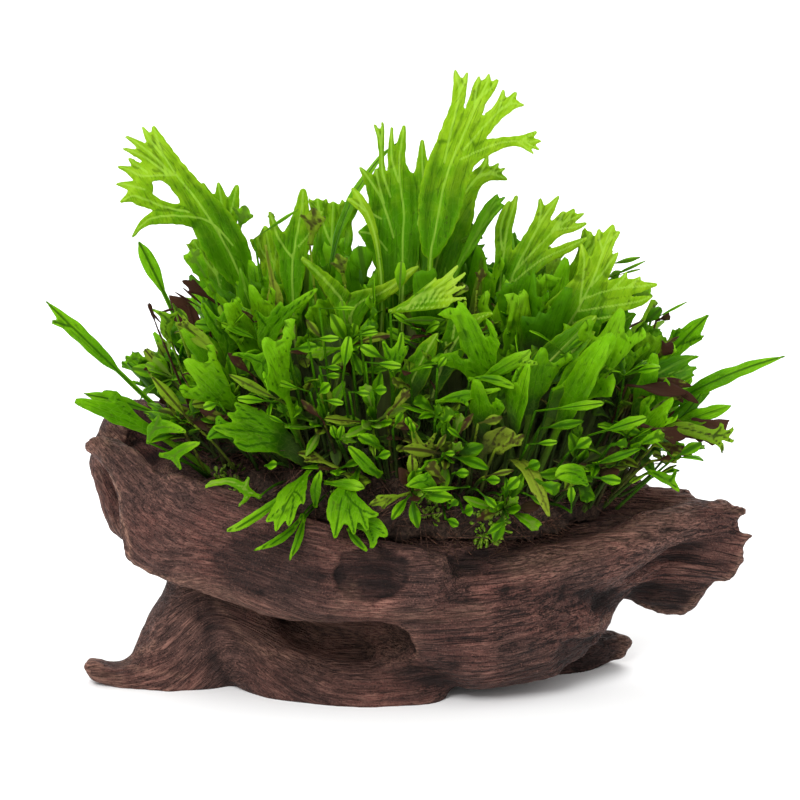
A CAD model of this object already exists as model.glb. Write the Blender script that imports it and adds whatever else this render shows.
import itertools
import math
import time

import bmesh
import bpy
import numpy as np
from mathutils import Matrix, Vector
from mathutils.bvhtree import BVHTree


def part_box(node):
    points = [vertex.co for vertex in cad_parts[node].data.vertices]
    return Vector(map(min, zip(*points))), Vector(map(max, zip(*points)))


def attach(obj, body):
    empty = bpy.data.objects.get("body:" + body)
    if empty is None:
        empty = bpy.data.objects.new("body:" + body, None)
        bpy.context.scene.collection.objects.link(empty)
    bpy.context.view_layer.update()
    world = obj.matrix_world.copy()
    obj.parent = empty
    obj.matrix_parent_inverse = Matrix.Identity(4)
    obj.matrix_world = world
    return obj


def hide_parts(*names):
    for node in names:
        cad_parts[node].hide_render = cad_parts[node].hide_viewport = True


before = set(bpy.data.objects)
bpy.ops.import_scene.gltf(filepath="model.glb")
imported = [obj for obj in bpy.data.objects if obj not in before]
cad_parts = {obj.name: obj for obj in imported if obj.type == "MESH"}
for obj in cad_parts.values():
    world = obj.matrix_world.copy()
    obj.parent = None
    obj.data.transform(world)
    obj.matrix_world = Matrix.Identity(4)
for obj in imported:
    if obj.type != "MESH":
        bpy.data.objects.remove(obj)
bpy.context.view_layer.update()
mm = 0.001
clockStart = time.time()


def report(stage):
    print(f"{stage}: {time.time() - clockStart:.1f} s")


# noise, curves and meshes that every piece shares

def latticeValue(i, j, k, seed):
    # a repeatable random value, -1 to 1, for each whole-number corner
    n = (i * 374761393 + j * 668265263 + k * 1440662683 + seed * 974634777) & 0xFFFFFFFF
    n = ((n ^ (n >> 13)) * 1274126177) & 0xFFFFFFFF
    return ((n ^ (n >> 16)) & 0xFFFF) / 32767.5 - 1.0


def cellCorners(part):
    # the eight corners of a grid's cell, and the share of each at a place in the cell
    for corner in itertools.product((0, 1), repeat=3):
        yield corner, np.abs(1 - np.array(corner) - part).prod(axis=1)


def softNoise(points, size, seed):
    # smooth noise, -1 to 1, whose blobs are about `size` across
    q = points / size
    base = np.floor(q).astype(np.int64)
    f = q - base
    f = f * f * (3 - 2 * f)
    total = np.zeros(len(points))
    for corner, share in cellCorners(f):
        total += share * latticeValue(*(base + corner).T, seed)
    return total


def layeredNoise(points, layers):
    # noise of several sizes added up; a layer is (strength, size, seed)
    return sum(strength * softNoise(points, size, seed) for strength, size, seed in layers)


def spansAlong(curve):
    # the lengths between a curve's points, and each point's place along it
    spans = np.linalg.norm(np.diff(curve, axis=0), axis=1)
    return spans, np.concatenate([[0.0], np.cumsum(spans)])


def curveLength(curve):
    return np.linalg.norm(np.diff(curve, axis=0), axis=1).sum()


def smoothRows(rows, step):
    # the smooth curve through the rows, read at even steps; columns past the third follow it
    rows = np.array(rows, dtype=float)
    _, places = spansAlong(rows[:, :3])
    count = max(3, int(places[-1] / step) + 1)
    found = []
    for s in np.linspace(0.0, places[-1], count):
        k = int(np.clip(np.searchsorted(places, s) - 1, 0, len(places) - 2))
        t = (s - places[k]) / (places[k + 1] - places[k])
        p0, p1 = rows[max(k - 1, 0)], rows[k]
        p2, p3 = rows[k + 1], rows[min(k + 2, len(rows) - 1)]
        found.append(0.5 * (2 * p1 + (p2 - p0) * t + (2 * p0 - 5 * p1 + 4 * p2 - p3) * t ** 2
                            + (3 * p1 - p0 - 3 * p2 + p3) * t ** 3))
    return np.array(found)


def readGrid(field, u0, v0, cell, u, v):
    # a flat grid's value at the places (u, v)
    a = np.clip((u - u0) / cell, 0, field.shape[0] - 1.001)
    b = np.clip((v - v0) / cell, 0, field.shape[1] - 1.001)
    i, j = a.astype(int), b.astype(int)
    fa, fb = a - i, b - j
    return ((field[i, j] * (1 - fa) + field[i + 1, j] * fa) * (1 - fb)
            + (field[i, j + 1] * (1 - fa) + field[i + 1, j + 1] * fa) * fb)


def addObject(name, data):
    obj = bpy.data.objects.new(name, data)
    bpy.context.scene.collection.objects.link(obj)
    return obj


def keepField(mesh, key, values):
    # a number or a vector kept at each point of the mesh, which a finish can read
    values = np.asarray(values, dtype=np.float32)
    kind, field = ("FLOAT", "value") if values.ndim == 1 else ("FLOAT_VECTOR", "vector")
    mesh.attributes.new(key, kind, "POINT").data.foreach_set(field, values.ravel())


def meshPiece(name, points, faces, material, fields=None):
    # a mesh object from points in millimetres; fields are numbers or vectors kept at each point
    mesh = bpy.data.meshes.new(name)
    mesh.from_pydata((np.asarray(points) * mm).tolist(), [], [list(map(int, f)) for f in faces])
    for key, values in (fields or {}).items():
        keepField(mesh, key, values)
    mesh.update()
    mesh.shade_smooth()
    mesh.materials.append(material)
    return addObject(name, mesh)


def refine(obj, points, material):
    # new places for a mesh's points, and one finish for all of it
    obj.data.vertices.foreach_set("co", (points * mm).ravel())
    obj.data.update()
    obj.data.shade_smooth()
    obj.data.materials.clear()
    obj.data.materials.append(material)


def bakeModifiers(obj):
    graph = bpy.context.evaluated_depsgraph_get()
    baked = bpy.data.meshes.new_from_object(obj.evaluated_get(graph))
    obj.modifiers.clear()
    obj.data = baked


def dropObject(obj):
    mesh = obj.data
    bpy.data.objects.remove(obj)
    bpy.data.meshes.remove(mesh)


def readMesh(obj):
    # points in millimetres and point normals
    mesh = obj.data
    count = len(mesh.vertices)
    points = np.empty(count * 3)
    mesh.vertices.foreach_get("co", points)
    normals = np.empty(count * 3)
    mesh.vertices.foreach_get("normal", normals)
    return points.reshape(-1, 3) / mm, normals.reshape(-1, 3)


def wear(obj, slot, *nodes):
    # the piece rides with the part, stands for these nodes and takes its finish from the slot
    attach(obj, "root")
    if nodes:
        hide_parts(*nodes)


# the eye that the tables' seen heights belong to: how many degrees it looks down, and the depth at which
# a seen height starts from the floor
view = dict(rise=14, front=-45)
viewRise = math.radians(view["rise"])
toEye = np.array([0.0, -math.cos(viewRise), math.sin(viewRise)])


def seenHeight(points):
    return points[:, 2] * math.cos(viewRise) + (points[:, 1] - view["front"]) * math.sin(viewRise)


def picturePoint(x, h, y):
    # the place at depth y that the eye sees at (x, h)
    return np.array([x, y, (h - math.sin(viewRise) * (y - view["front"])) / math.cos(viewRise)])


# materials are built from small node helpers

class Paint:
    def __init__(self, name):
        self.material = bpy.data.materials.new(name)
        self.material.use_nodes = True
        self.tree = self.material.node_tree
        self.shader = self.tree.nodes["Principled BSDF"]
        self.output = self.tree.nodes["Material Output"]

    def node(self, kind, **settings):
        made = self.tree.nodes.new(kind)
        for key, value in settings.items():
            setattr(made, key, value)
        return made

    def link(self, source, target):
        self.tree.links.new(source, target)

    def feed(self, socket, value):
        if hasattr(value, "is_output"):
            self.link(value, socket)
        else:
            socket.default_value = value

    def field(self, name, output="Fac"):
        return self.node("ShaderNodeAttribute", attribute_name=name).outputs[output]

    def place(self):
        return self.node("ShaderNodeTexCoord").outputs["Object"]

    def maths(self, operation, a, b=0.0):
        made = self.node("ShaderNodeMath", operation=operation)
        self.feed(made.inputs[0], a)
        self.feed(made.inputs[1], b)
        return made.outputs[0]

    def shifted(self, place, way):
        made = self.node("ShaderNodeVectorMath", operation="ADD")
        self.link(place, made.inputs[0])
        made.inputs[1].default_value = way
        return made.outputs[0]

    def stretched(self, place, shares):
        made = self.node("ShaderNodeVectorMath", operation="MULTIPLY")
        self.link(place, made.inputs[0])
        made.inputs[1].default_value = shares
        return made.outputs[0]

    def noise(self, place, scale, detail, roughness):
        made = self.node("ShaderNodeTexNoise")
        self.feed(made.inputs["Vector"], place)
        self.feed(made.inputs["Scale"], scale)
        made.inputs["Detail"].default_value = detail
        made.inputs["Roughness"].default_value = roughness
        return made.outputs["Fac"]

    def cells(self, place, scale, feature="DISTANCE_TO_EDGE"):
        made = self.node("ShaderNodeTexVoronoi", feature=feature)
        self.feed(made.inputs["Vector"], place)
        self.feed(made.inputs["Scale"], scale)
        return made.outputs["Distance"]

    def ramp(self, value, low, high, start=0.0, end=1.0):
        made = self.node("ShaderNodeMapRange", interpolation_type="SMOOTHSTEP")
        self.feed(made.inputs["Value"], value)
        self.feed(made.inputs["From Min"], low)
        self.feed(made.inputs["From Max"], high)
        self.feed(made.inputs["To Min"], start)
        self.feed(made.inputs["To Max"], end)
        return made.outputs[0]

    def mix(self, share, a, b, blend="MIX"):
        made = self.node("ShaderNodeMix", data_type="RGBA", blend_type=blend)
        self.feed(made.inputs[0], share)
        self.feed(made.inputs[6], a if hasattr(a, "is_output") else (*a, 1.0))
        self.feed(made.inputs[7], b if hasattr(b, "is_output") else (*b, 1.0))
        return made.outputs[2]

    def bump(self, height, strength, distance):
        made = self.node("ShaderNodeBump")
        self.feed(made.inputs["Height"], height)
        made.inputs["Strength"].default_value = strength
        made.inputs["Distance"].default_value = distance
        return made.outputs["Normal"]


# the driftwood

wood = dict(
    voxel=1.12,             # of the finished surface
    roughVoxel=1.7,         # of the body while its hollows are cut
    lumpSize=26, lumpHeight=3.0,
    streakHeight=0.42,      # raised fibres of weathered grain
    ridgeHeight=0.85,       # broader grooves that follow the grain
    pitHeight=0.70,
    raggedHeight=1.3,       # torn rims
    stainDepth=1.3,         # how far the dark stains are eaten in
    stainFront=-20,         # in front of this depth a stain may also lie on a face that looks up or down
    rimReach=0.9, creaseReach=0.5,              # how far a full rim or crease stands out of its surroundings
    flatFoot=2.0,           # the lowest part stays smooth, so that it rests flat
    # noise layers as (strength, size, seed); on the grain with the share that is left along it as well
    streaks=[(1.0, 0.14, 2.0, 11), (0.6, 0.10, 1.3, 12)],
    ridges=[(1.0, 0.09, 4.6, 13), (0.5, 0.07, 2.6, 14)],
    stainEdge=[(0.13, 5.0, 15), (0.06, 2.0, 16)],
    ragged=[(0.6, 4.5, 3), (0.5, 2.4, 4)],
    pits=[(1.0, 3.1, 5)], pitStart=0.45,
    ridgy=[(0.5, 38, 6)], ridgyStart=0.40, ridgyRise=0.014,
)
grainSizes = dict(gap=2.0, left=-132.0, right=133, floor=-14.0, top=115, spread=8.5, depthShare=0.45)

# each limb has a spine of points (x, y, z, a, b): half widths along `across` and square to it
woodLimbs = {
    "trunk": dict(across=(0, 1, 0), power=2.3, spine=[
        (-78, 4, 56, 30, 15), (-45, 3, 46, 38, 21), (-10, 3, 38, 38, 24), (25, 2, 34, 38, 22),
        (52, 2, 36, 28, 18), (72, 5, 44, 14, 14)]),
    "keel": dict(across=(0, 1, 0), power=2.6, spine=[
        (-36, 2, 10, 20, 14), (0, 0, 8, 24, 14), (34, 0, 10, 18, 14)]),
    "lip": dict(across=(0, 1, 0), power=2.6, spine=[
        (-103, -20, 81, 4, 5), (-96, -24, 73, 5, 10), (-88, -29, 61, 6, 17), (-62, -37, 53.5, 7, 17.5),
        (-40, -41, 47, 8, 17), (-20, -42, 44, 8, 14), (4, -40, 41, 8, 12)]),
    "leftCurl": dict(across=(0, 1, 0), power=2.4, spine=[
        (-99, 12, 79, 8, 6), (-103, 9, 69, 7, 5), (-101, 8, 58, 6, 5), (-96, 7, 49, 8, 6),
        (-86, 6, 44, 9, 6)]),
    "rearRim": dict(across=(0, 1, 0), power=2.2, spine=[
        (-94, 18, 75.5, 8, 11.5), (-72, 28, 75, 9, 9), (-45, 36, 64, 9, 13), (-8, 40, 56, 9, 14),
        (30, 36, 50, 9, 13), (56, 22, 51, 9, 11), (70, 10, 54, 9, 10)]),
    "foot": dict(across=(1, 0, 0), power=2.2, spine=[
        (-70, -12, 44, 12, 12), (-72, -12, 30, 10.5, 13), (-76, -12, 15, 14, 13), (-79, -12, -2, 20, 11)]),
    "toe": dict(across=(0, 1, 0), power=4, spine=[
        (-109.4, -15, 4.5, 5, 3.6), (-96, -15, 2.2, 8, 3.7), (-80, -16, 1, 10, 5)]),
    "frontMass": dict(across=(0, 1, 0), power=2.4, spine=[
        (-64, -16, 28, 9, 12), (-55, -16, 13, 10, 12), (-42, -22, 4, 12, 11), (-20, -28, 2, 13, 10),
        (0, -27, 3, 12, 10)]),
    "barrel": dict(across=(0, 1, 0), power=2.3, spine=[
        (-2, -20, 27, 25, 17), (18, -22, 25, 25, 22), (38, -17, 24, 23, 19), (55, -8, 28, 15, 11)]),
    "arm": dict(across=(0, 1, 0), power=2.2, spine=[
        (26, -32, 41, 9, 9), (48, -26, 42, 9, 8.5), (66, -19, 46, 8, 8), (78, -13, 51, 6.5, 8),
        (90, -8, 53, 4.5, 7.5), (100, -5, 53, 2.8, 6)]),
    "wing": dict(across=(0, 1, 0), power=2.6, spine=[
        (54, 2, 38, 8, 14), (74, 2, 42, 6, 21), (90, 0, 37.5, 5, 20), (100, -3, 43.5, 3.6, 13.5),
        (104.5, -4, 45, 2.8, 8.5)]),
    "wingPoint": dict(across=(0, 1, 0), power=2.2, spine=[
        (98, -4, 44, 3, 5), (106, -4, 45.5, 2.4, 3.4), (111, -4, 47, 1.5, 1.3)]),
    "wingCrest": dict(across=(0, 1, 0), power=2.2, spine=[
        (90, -2, 53, 3.5, 4.5), (100, -3, 55.4, 2.6, 3), (107, -4, 54.8, 1.6, 1.4)]),
    "frontRoot": dict(across=(0, 1, 0), power=2.3, spine=[
        (36, 0, 10, 13, 12), (52, 2, 6, 10, 9), (67, 4, 6.5, 5, 5)]),
    "rearBase": dict(across=(0, 1, 0), power=2.2, spine=[
        (-64, 20, 34, 15, 16), (-42, 28, 16, 15, 17), (-8, 32, 13, 15, 17), (24, 27, 13, 14, 15),
        (44, 16, 18, 12, 12)]),
}
woodHollows = {
    "bowl": dict(across=(0, 1, 0), power=2.4, spine=[
        (-76, 2, 84, 12, 12), (-40, -2, 76, 23, 20), (-2, -4, 66, 28, 18), (36, 0, 60, 22, 14),
        (56, 6, 62, 10, 9)]),
    "leftSlot": dict(across=(0, 1, 0), power=2.4, spine=[
        (-114, -6, 66, 7, 15), (-94, -7, 60, 8, 15), (-80, -6, 55, 5, 8)]),
    "cave": dict(across=(0, 1, 0), power=2.6, spine=[
        (-56, -46, 26, 12, 6), (-34, -44, 20.5, 19, 7.5), (-18, -44, 20.8, 22, 9.5),
        (-9, -45, 21.5, 18, 7.5)]),
    "lipEnd": dict(across=(0, 1, 0), power=2.4, spine=[
        (-107, -26, 74, 12, 6.5), (-103.5, -26, 65, 12, 7.5), (-102, -26, 57, 12, 7.2),
        (-100.5, -26, 49, 12, 6.5)]),
    "lipRecess": dict(across=(0, 1, 0), power=2.4, spine=[
        (-38, -55, 48, 4.5, 3), (-24, -53.5, 46.5, 6.5, 6), (-11, -52, 45, 6.5, 6.5)]),
    "armShadow": dict(across=(0, 1, 0), power=2.2, spine=[
        (60, -33, 30.5, 11, 3), (72, -26, 34, 12, 5.5), (90, -19, 39, 11, 8)]),
    "toeCut": dict(across=(0, 1, 0), power=7, spine=[(-116.4, -15, 14, 13, 4), (-108.1, -15, -6, 13, 4)]),
    "wingCut": dict(across=(0, 1, 0), power=2.4, spine=[(110, 0, 28.5, 16, 8), (96.5, 0, 17, 16, 8)]),
    "rearCave": dict(across=(0, 1, 0), power=2.2, spine=[
        (-24, 62, 28, 15, 8), (2, 58, 30, 15, 9), (28, 54, 30, 13, 7)]),
}

# the way the grain runs: (x, z, degrees above +X)
grainWays = [
    (-106, 84, -30), (-100, 74, -60), (-92, 70, -38), (-84, 72, -30), (-90, 60, -75), (-80, 62, -50),
    (-94, 52, -85), (-72, 70, -22), (-60, 66, -18), (-70, 56, -38), (-82, 50, -42), (-60, 52, -32),
    (-45, 58, -14), (-40, 46, -22), (-20, 56, -6), (-20, 44, -10), (-10, 38, -6), (0, 50, 0),
    (5, 40, -4), (10, 30, 4), (20, 44, 8), (20, 30, 8), (35, 40, 15), (35, 28, 14), (50, 44, 22),
    (50, 32, 22), (66, 48, 26), (66, 38, 24), (80, 56, 26), (80, 46, 22), (92, 52, 14), (92, 44, 4),
    (104, 50, 2), (98, 36, -22), (84, 34, -4), (70, 30, 8), (60, 60, 12), (76, 66, -20), (40, 14, 16),
    (56, 12, -10), (64, 8, -20), (20, 10, 8), (0, 12, 10), (-20, 10, 4), (-40, 12, -20), (-50, 24, -42),
    (-64, 34, -58), (-74, 34, 74), (-82, 20, 58), (-92, 8, 32), (-104, 4, 14), (-70, 14, 66), (-100, 60, -80),
]


# pale edges and ridges on the front, as (x, seen height) points with a half width and a strength
woodMarks = [
    ([(-106, 81.8), (-99.7, 76.2), (-98, 73.6), (-96, 70.7), (-95.8, 68.4), (-98, 66.4), (-96, 63.8),
      (-94.5, 60.3), (-92.8, 55.7), (-91.9, 52.4), (-93.2, 48.2)], 0.55, 1.0),
    ([(-93.2, 48.0), (-87, 45.0), (-81.2, 42.8), (-74.5, 41.7)], 0.6, 0.7),
    ([(-74, 41.5), (-65, 39), (-58, 35), (-50, 31.5), (-38, 28), (-27, 26.5)], 3.2, 0.34),
    ([(-65.5, 34.5), (-60.9, 28.7), (-56.5, 21.8), (-49.8, 18.2), (-40.7, 16.6)], 1.1, 0.45),
    ([(-97.3, 13), (-86, 11.6), (-75.9, 9.9)], 0.7, 0.45),
    ([(-96.9, 13.7), (-91, 17.5), (-86.4, 20.5)], 1.2, 0.45),
    ([(-105.2, 89.6), (-102.3, 88.5), (-101, 88.9), (-99.2, 87.3), (-97.7, 88.1), (-93.2, 86.6)], 0.4, 1.0),
    ([(52, 24), (58, 27.5), (66, 30)], 0.7, 0.5),
    ([(32, 47), (48, 51), (62, 56), (74, 61), (86, 66)], 5.0, 0.40),
    ([(-48, 24), (-30, 21.5), (-8, 22)], 7.5, 0.30),
    ([(-26, 33), (-21, 40.5), (-19, 33), (-6, 31.5), (6, 31), (20, 33)], 2.4, 0.26),
]


# darker hollows and stains on the front: (x, seen height, half width, half height, strength, soft edge)
woodShades = [
    (-48, 49, 27, 12, 0.34, 0.7), (-47, 47.5, 18.5, 11, 0.66, 0.26), (-15, 45.5, 11.5, 9.2, 0.84, 0.13),
    (-27, 23, 23, 8, 0.15, 0.6), (-82, 60, 19, 17, 0.24, 0.9),
    (0, 14, 13, 14, 0.46, 0.8), (27, 48, 17, 4.5, 0.80, 0.5), (75, 33.5, 19, 5.5, 0.95, 0.5),
    (57, 16, 13, 8, 0.85, 0.3), (-102, 67, 6, 14, 0.40, 0.4), (-95, 91, 11, 6, 0.55, 0.6),
    (-30, 10, 20, 9, 0.40, 0.8), (88, 38, 16, 12, 0.26, 0.7), (-62, 31, 10, 9, 0.35, 0.8),
]


def seenFromFront(points, normals):
    # x and height as the front view shows them, and how far each point turns to the front
    seen = np.stack([points[:, 0], seenHeight(points)], axis=1)
    turned = normals[:, 2] * toEye[2] + normals[:, 1] * toEye[1]
    return seen, np.clip(turned + 0.2, 0, 0.5) * 2


def markField(seen, toFront):
    total = np.zeros(len(seen))
    for line, half, strength in woodMarks:
        far = np.full(len(seen), 1e3)
        for a, b in zip(np.array(line[:-1], float), np.array(line[1:], float)):
            share = np.clip(((seen - a) * (b - a)).sum(1) / ((b - a) ** 2).sum(), 0, 1)
            far = np.minimum(far, np.linalg.norm(seen - a - (b - a) * share[:, None], axis=1))
        total = np.maximum(total, strength * np.exp(-(far / half) ** 2))
    return total * toFront


def shadeField(seen, toFront, wander):
    total = np.zeros(len(seen))
    for x, high, halfX, halfZ, strength, soft in woodShades:
        far = np.hypot((seen[:, 0] - x) / halfX, (seen[:, 1] - high) / halfZ) + wander
        total = np.maximum(total, strength * np.clip((1 + soft / 2 - far) / soft, 0, 1))
    return total * toFront


def addLimb(bm, spine, across, power, sides=28, step=4.0):
    rings = smoothRows(spine, step)
    ways = np.gradient(rings[:, :3], axis=0)
    ways /= np.linalg.norm(ways, axis=1)[:, None]
    ends = []
    for ring, way in ((rings[0], -ways[0]), (rings[-1], ways[-1])):
        caps = []
        for along, scale in ((0.5, 0.87), (0.87, 0.5)):
            cap = ring.copy()
            cap[:3] += way * min(ring[3:5]) * along
            cap[3:5] *= scale
            caps.append(cap)
        ends.append(caps)
    rings = np.vstack([ends[0][::-1], rings, ends[1]])
    ways = np.vstack([ways[:1], ways[:1], ways, ways[-1:], ways[-1:]])
    turn = np.linspace(0.0, 2 * math.pi, sides, endpoint=False)
    shapeA = np.sign(np.cos(turn)) * np.abs(np.cos(turn)) ** (2 / power)
    shapeB = np.sign(np.sin(turn)) * np.abs(np.sin(turn)) ** (2 / power)
    loops = []
    for ring, way in zip(rings, ways):
        side = np.array(across, dtype=float)
        side -= way * side.dot(way)
        side /= np.linalg.norm(side)
        up = np.cross(way, side)
        points = ring[:3] + np.outer(shapeA * ring[3], side) + np.outer(shapeB * ring[4], up)
        loops.append([bm.verts.new(p * mm) for p in points])
    for low, high in zip(loops, loops[1:]):
        for i in range(sides):
            j = (i + 1) % sides
            bm.faces.new((low[i], low[j], high[j], high[i]))
    bm.faces.new(loops[0][::-1])
    bm.faces.new(loops[-1])


def limbBody(name, limbs, voxel):
    bm = bmesh.new()
    for limb in limbs.values():
        addLimb(bm, **limb)
    bmesh.ops.recalc_face_normals(bm, faces=bm.faces)
    mesh = bpy.data.meshes.new(name)
    bm.to_mesh(mesh)
    bm.free()
    obj = addObject(name, mesh)
    addRemesh(obj, voxel)
    bakeModifiers(obj)
    return obj


def addRemesh(obj, voxel):
    remesh = obj.modifiers.new("Remesh", "REMESH")
    remesh.mode = "VOXEL"
    remesh.voxel_size = voxel * mm


def addBoolean(obj, other, operation):
    cut = obj.modifiers.new(operation.capitalize(), "BOOLEAN")
    cut.operation = operation
    cut.object = other


def addSmooth(obj, factor, iterations):
    smooth = obj.modifiers.new("Smooth", "SMOOTH")
    smooth.factor = factor
    smooth.iterations = iterations


def roughWood():
    body = limbBody("roughWood", woodLimbs, wood["roughVoxel"])
    hollows = limbBody("woodHollows", woodHollows, wood["roughVoxel"])
    addBoolean(body, hollows, "DIFFERENCE")
    addRemesh(body, wood["roughVoxel"])
    addSmooth(body, 0.5, 4)
    lumps = bpy.data.textures.new("lumps", "CLOUDS")
    lumps.noise_scale = wood["lumpSize"] * mm
    raised = body.modifiers.new("Lumps", "DISPLACE")
    raised.texture = lumps
    raised.strength = wood["lumpHeight"] * mm
    raised.mid_level = 0.5
    bakeModifiers(body)
    dropObject(hollows)
    return body


def climbSheet(slopeX, slopeZ, gap):
    # the height over a grid whose slopes come nearest to the given ones, by sines and cosines
    rows, columns = slopeX.shape
    slopeX = np.block([[slopeX, slopeX[:, ::-1]], [-slopeX[::-1], -slopeX[::-1, ::-1]]])
    slopeZ = np.block([[slopeZ, -slopeZ[:, ::-1]], [slopeZ[::-1], -slopeZ[::-1, ::-1]]])
    waveX = 2 * math.pi * np.fft.fftfreq(2 * rows, gap)[:, None]
    waveZ = 2 * math.pi * np.fft.fftfreq(2 * columns, gap)[None, :]
    size = waveX ** 2 + waveZ ** 2
    size[0, 0] = 1.0
    sheet = -1j * (waveX * np.fft.fft2(slopeX) + waveZ * np.fft.fft2(slopeZ)) / size
    return np.real(np.fft.ifft2(sheet))[:rows, :columns]


def grainPlace(points):
    # each point's place in the grain: across it in two ways, then along it
    gap, left, floor = (grainSizes[key] for key in ("gap", "left", "floor"))
    xs, zs = np.meshgrid(np.arange(left, grainSizes["right"], gap), np.arange(floor, grainSizes["top"], gap),
                         indexing="ij")
    way = np.zeros((2,) + xs.shape)
    for x, z, angle in grainWays:
        near = np.exp(-((xs - x) ** 2 + (zs - z) ** 2) / (2 * grainSizes["spread"] ** 2)) + 1e-9
        way += near * np.array([math.cos(math.radians(angle)), math.sin(math.radians(angle))])[:, None, None]
    way /= np.maximum(np.linalg.norm(way, axis=0), 1e-9)
    across, along = climbSheet(-way[1], way[0], gap), climbSheet(way[0], way[1], gap)
    across, along = (readGrid(s, left, floor, gap, points[:, 0], points[:, 2]) for s in (across, along))
    return np.stack([across, points[:, 1] * grainSizes["depthShare"], along], axis=1)


def grainNoise(grain, layers):
    # noise drawn out along the grain
    return sum(strength * softNoise(grain * (1, 1, along), size, seed)
               for strength, along, size, seed in layers)


def neighbourMean(values, edges, counts):
    total = np.zeros_like(values)
    np.add.at(total, edges[:, 0], values[edges[:, 1]])
    np.add.at(total, edges[:, 1], values[edges[:, 0]])
    return total / (counts[:, None] if values.ndim > 1 else counts)


def edgeTable(obj):
    mesh = obj.data
    edges = np.empty(len(mesh.edges) * 2, dtype=np.int64)
    mesh.edges.foreach_get("vertices", edges)
    edges = edges.reshape(-1, 2)
    counts = np.maximum(np.bincount(edges.ravel(), minlength=len(mesh.vertices)), 1).astype(float)
    return edges, counts


def sharpness(points, normals, edges, counts, rounds):
    # how far a point stands out of its surroundings (positive on rims, negative in creases)
    mean = points
    for _ in range(rounds):
        mean = neighbourMean(mean, edges, counts)
    return ((points - mean) * normals).sum(1)


def fineWood():
    body = roughWood()
    addRemesh(body, wood["voxel"])
    addSmooth(body, 0.5, 3)
    bakeModifiers(body)
    body.name = "driftwood"
    points, normals = readMesh(body)
    edges, counts = edgeTable(body)
    rim = np.clip(sharpness(points, normals, edges, counts, 14) / wood["rimReach"], -1, 1)
    grain = grainPlace(points)
    seen, toFront = seenFromFront(points, normals)
    stained = np.maximum(toFront, np.clip((wood["stainFront"] - points[:, 1]) / 8, 0, 1))
    shade = shadeField(seen, stained, layeredNoise(points, wood["stainEdge"]))
    pits = np.clip(layeredNoise(points, wood["pits"]) - wood["pitStart"], 0, 1)
    # the wood is more deeply grooved toward the right
    ridgy = wood["ridgyStart"] + layeredNoise(points, wood["ridgy"]) + wood["ridgyRise"] * (points[:, 0] - 6)
    ridgy = np.clip(ridgy, 0.1, 1.3)
    streaks = np.clip(grainNoise(grain, wood["streaks"]), -1.4, 1.4)
    height = wood["streakHeight"] * streaks * (0.5 + 0.5 * ridgy)
    height += wood["ridgeHeight"] * np.clip(grainNoise(grain, wood["ridges"]), -1.2, 1.0) * ridgy
    height -= wood["pitHeight"] * pits
    height += wood["raggedHeight"] * layeredNoise(points, wood["ragged"]) * np.clip(rim, 0, 1) ** 1.2
    height -= wood["stainDepth"] * shade
    raised = np.clip(points[:, 2] / wood["flatFoot"], 0, 1)
    points = points + normals * (height * raised)[:, None]
    points[:, 2] = np.maximum(points[:, 2], 0.0)
    crease = sharpness(points, normals, edges, counts, 5)
    fields = {
        "rim": rim, "crease": np.clip(crease / wood["creaseReach"], -1, 1), "ridgy": np.clip(ridgy, 0, 1),
        "mark": markField(seen, toFront), "shade": shade, "grain": grain,
    }
    for key, values in fields.items():
        keepField(body.data, key, values)
    refine(body, points, woodFinish())
    return body


woodTones = dict(
    black=(0.0080, 0.0048, 0.0046), dark=(0.0270, 0.0150, 0.0135), brown=(0.082, 0.0410, 0.0340),
    red=(0.135, 0.0500, 0.0400), pale=(0.330, 0.1600, 0.1200), worn=(0.33, 0.180, 0.125),
)


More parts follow.
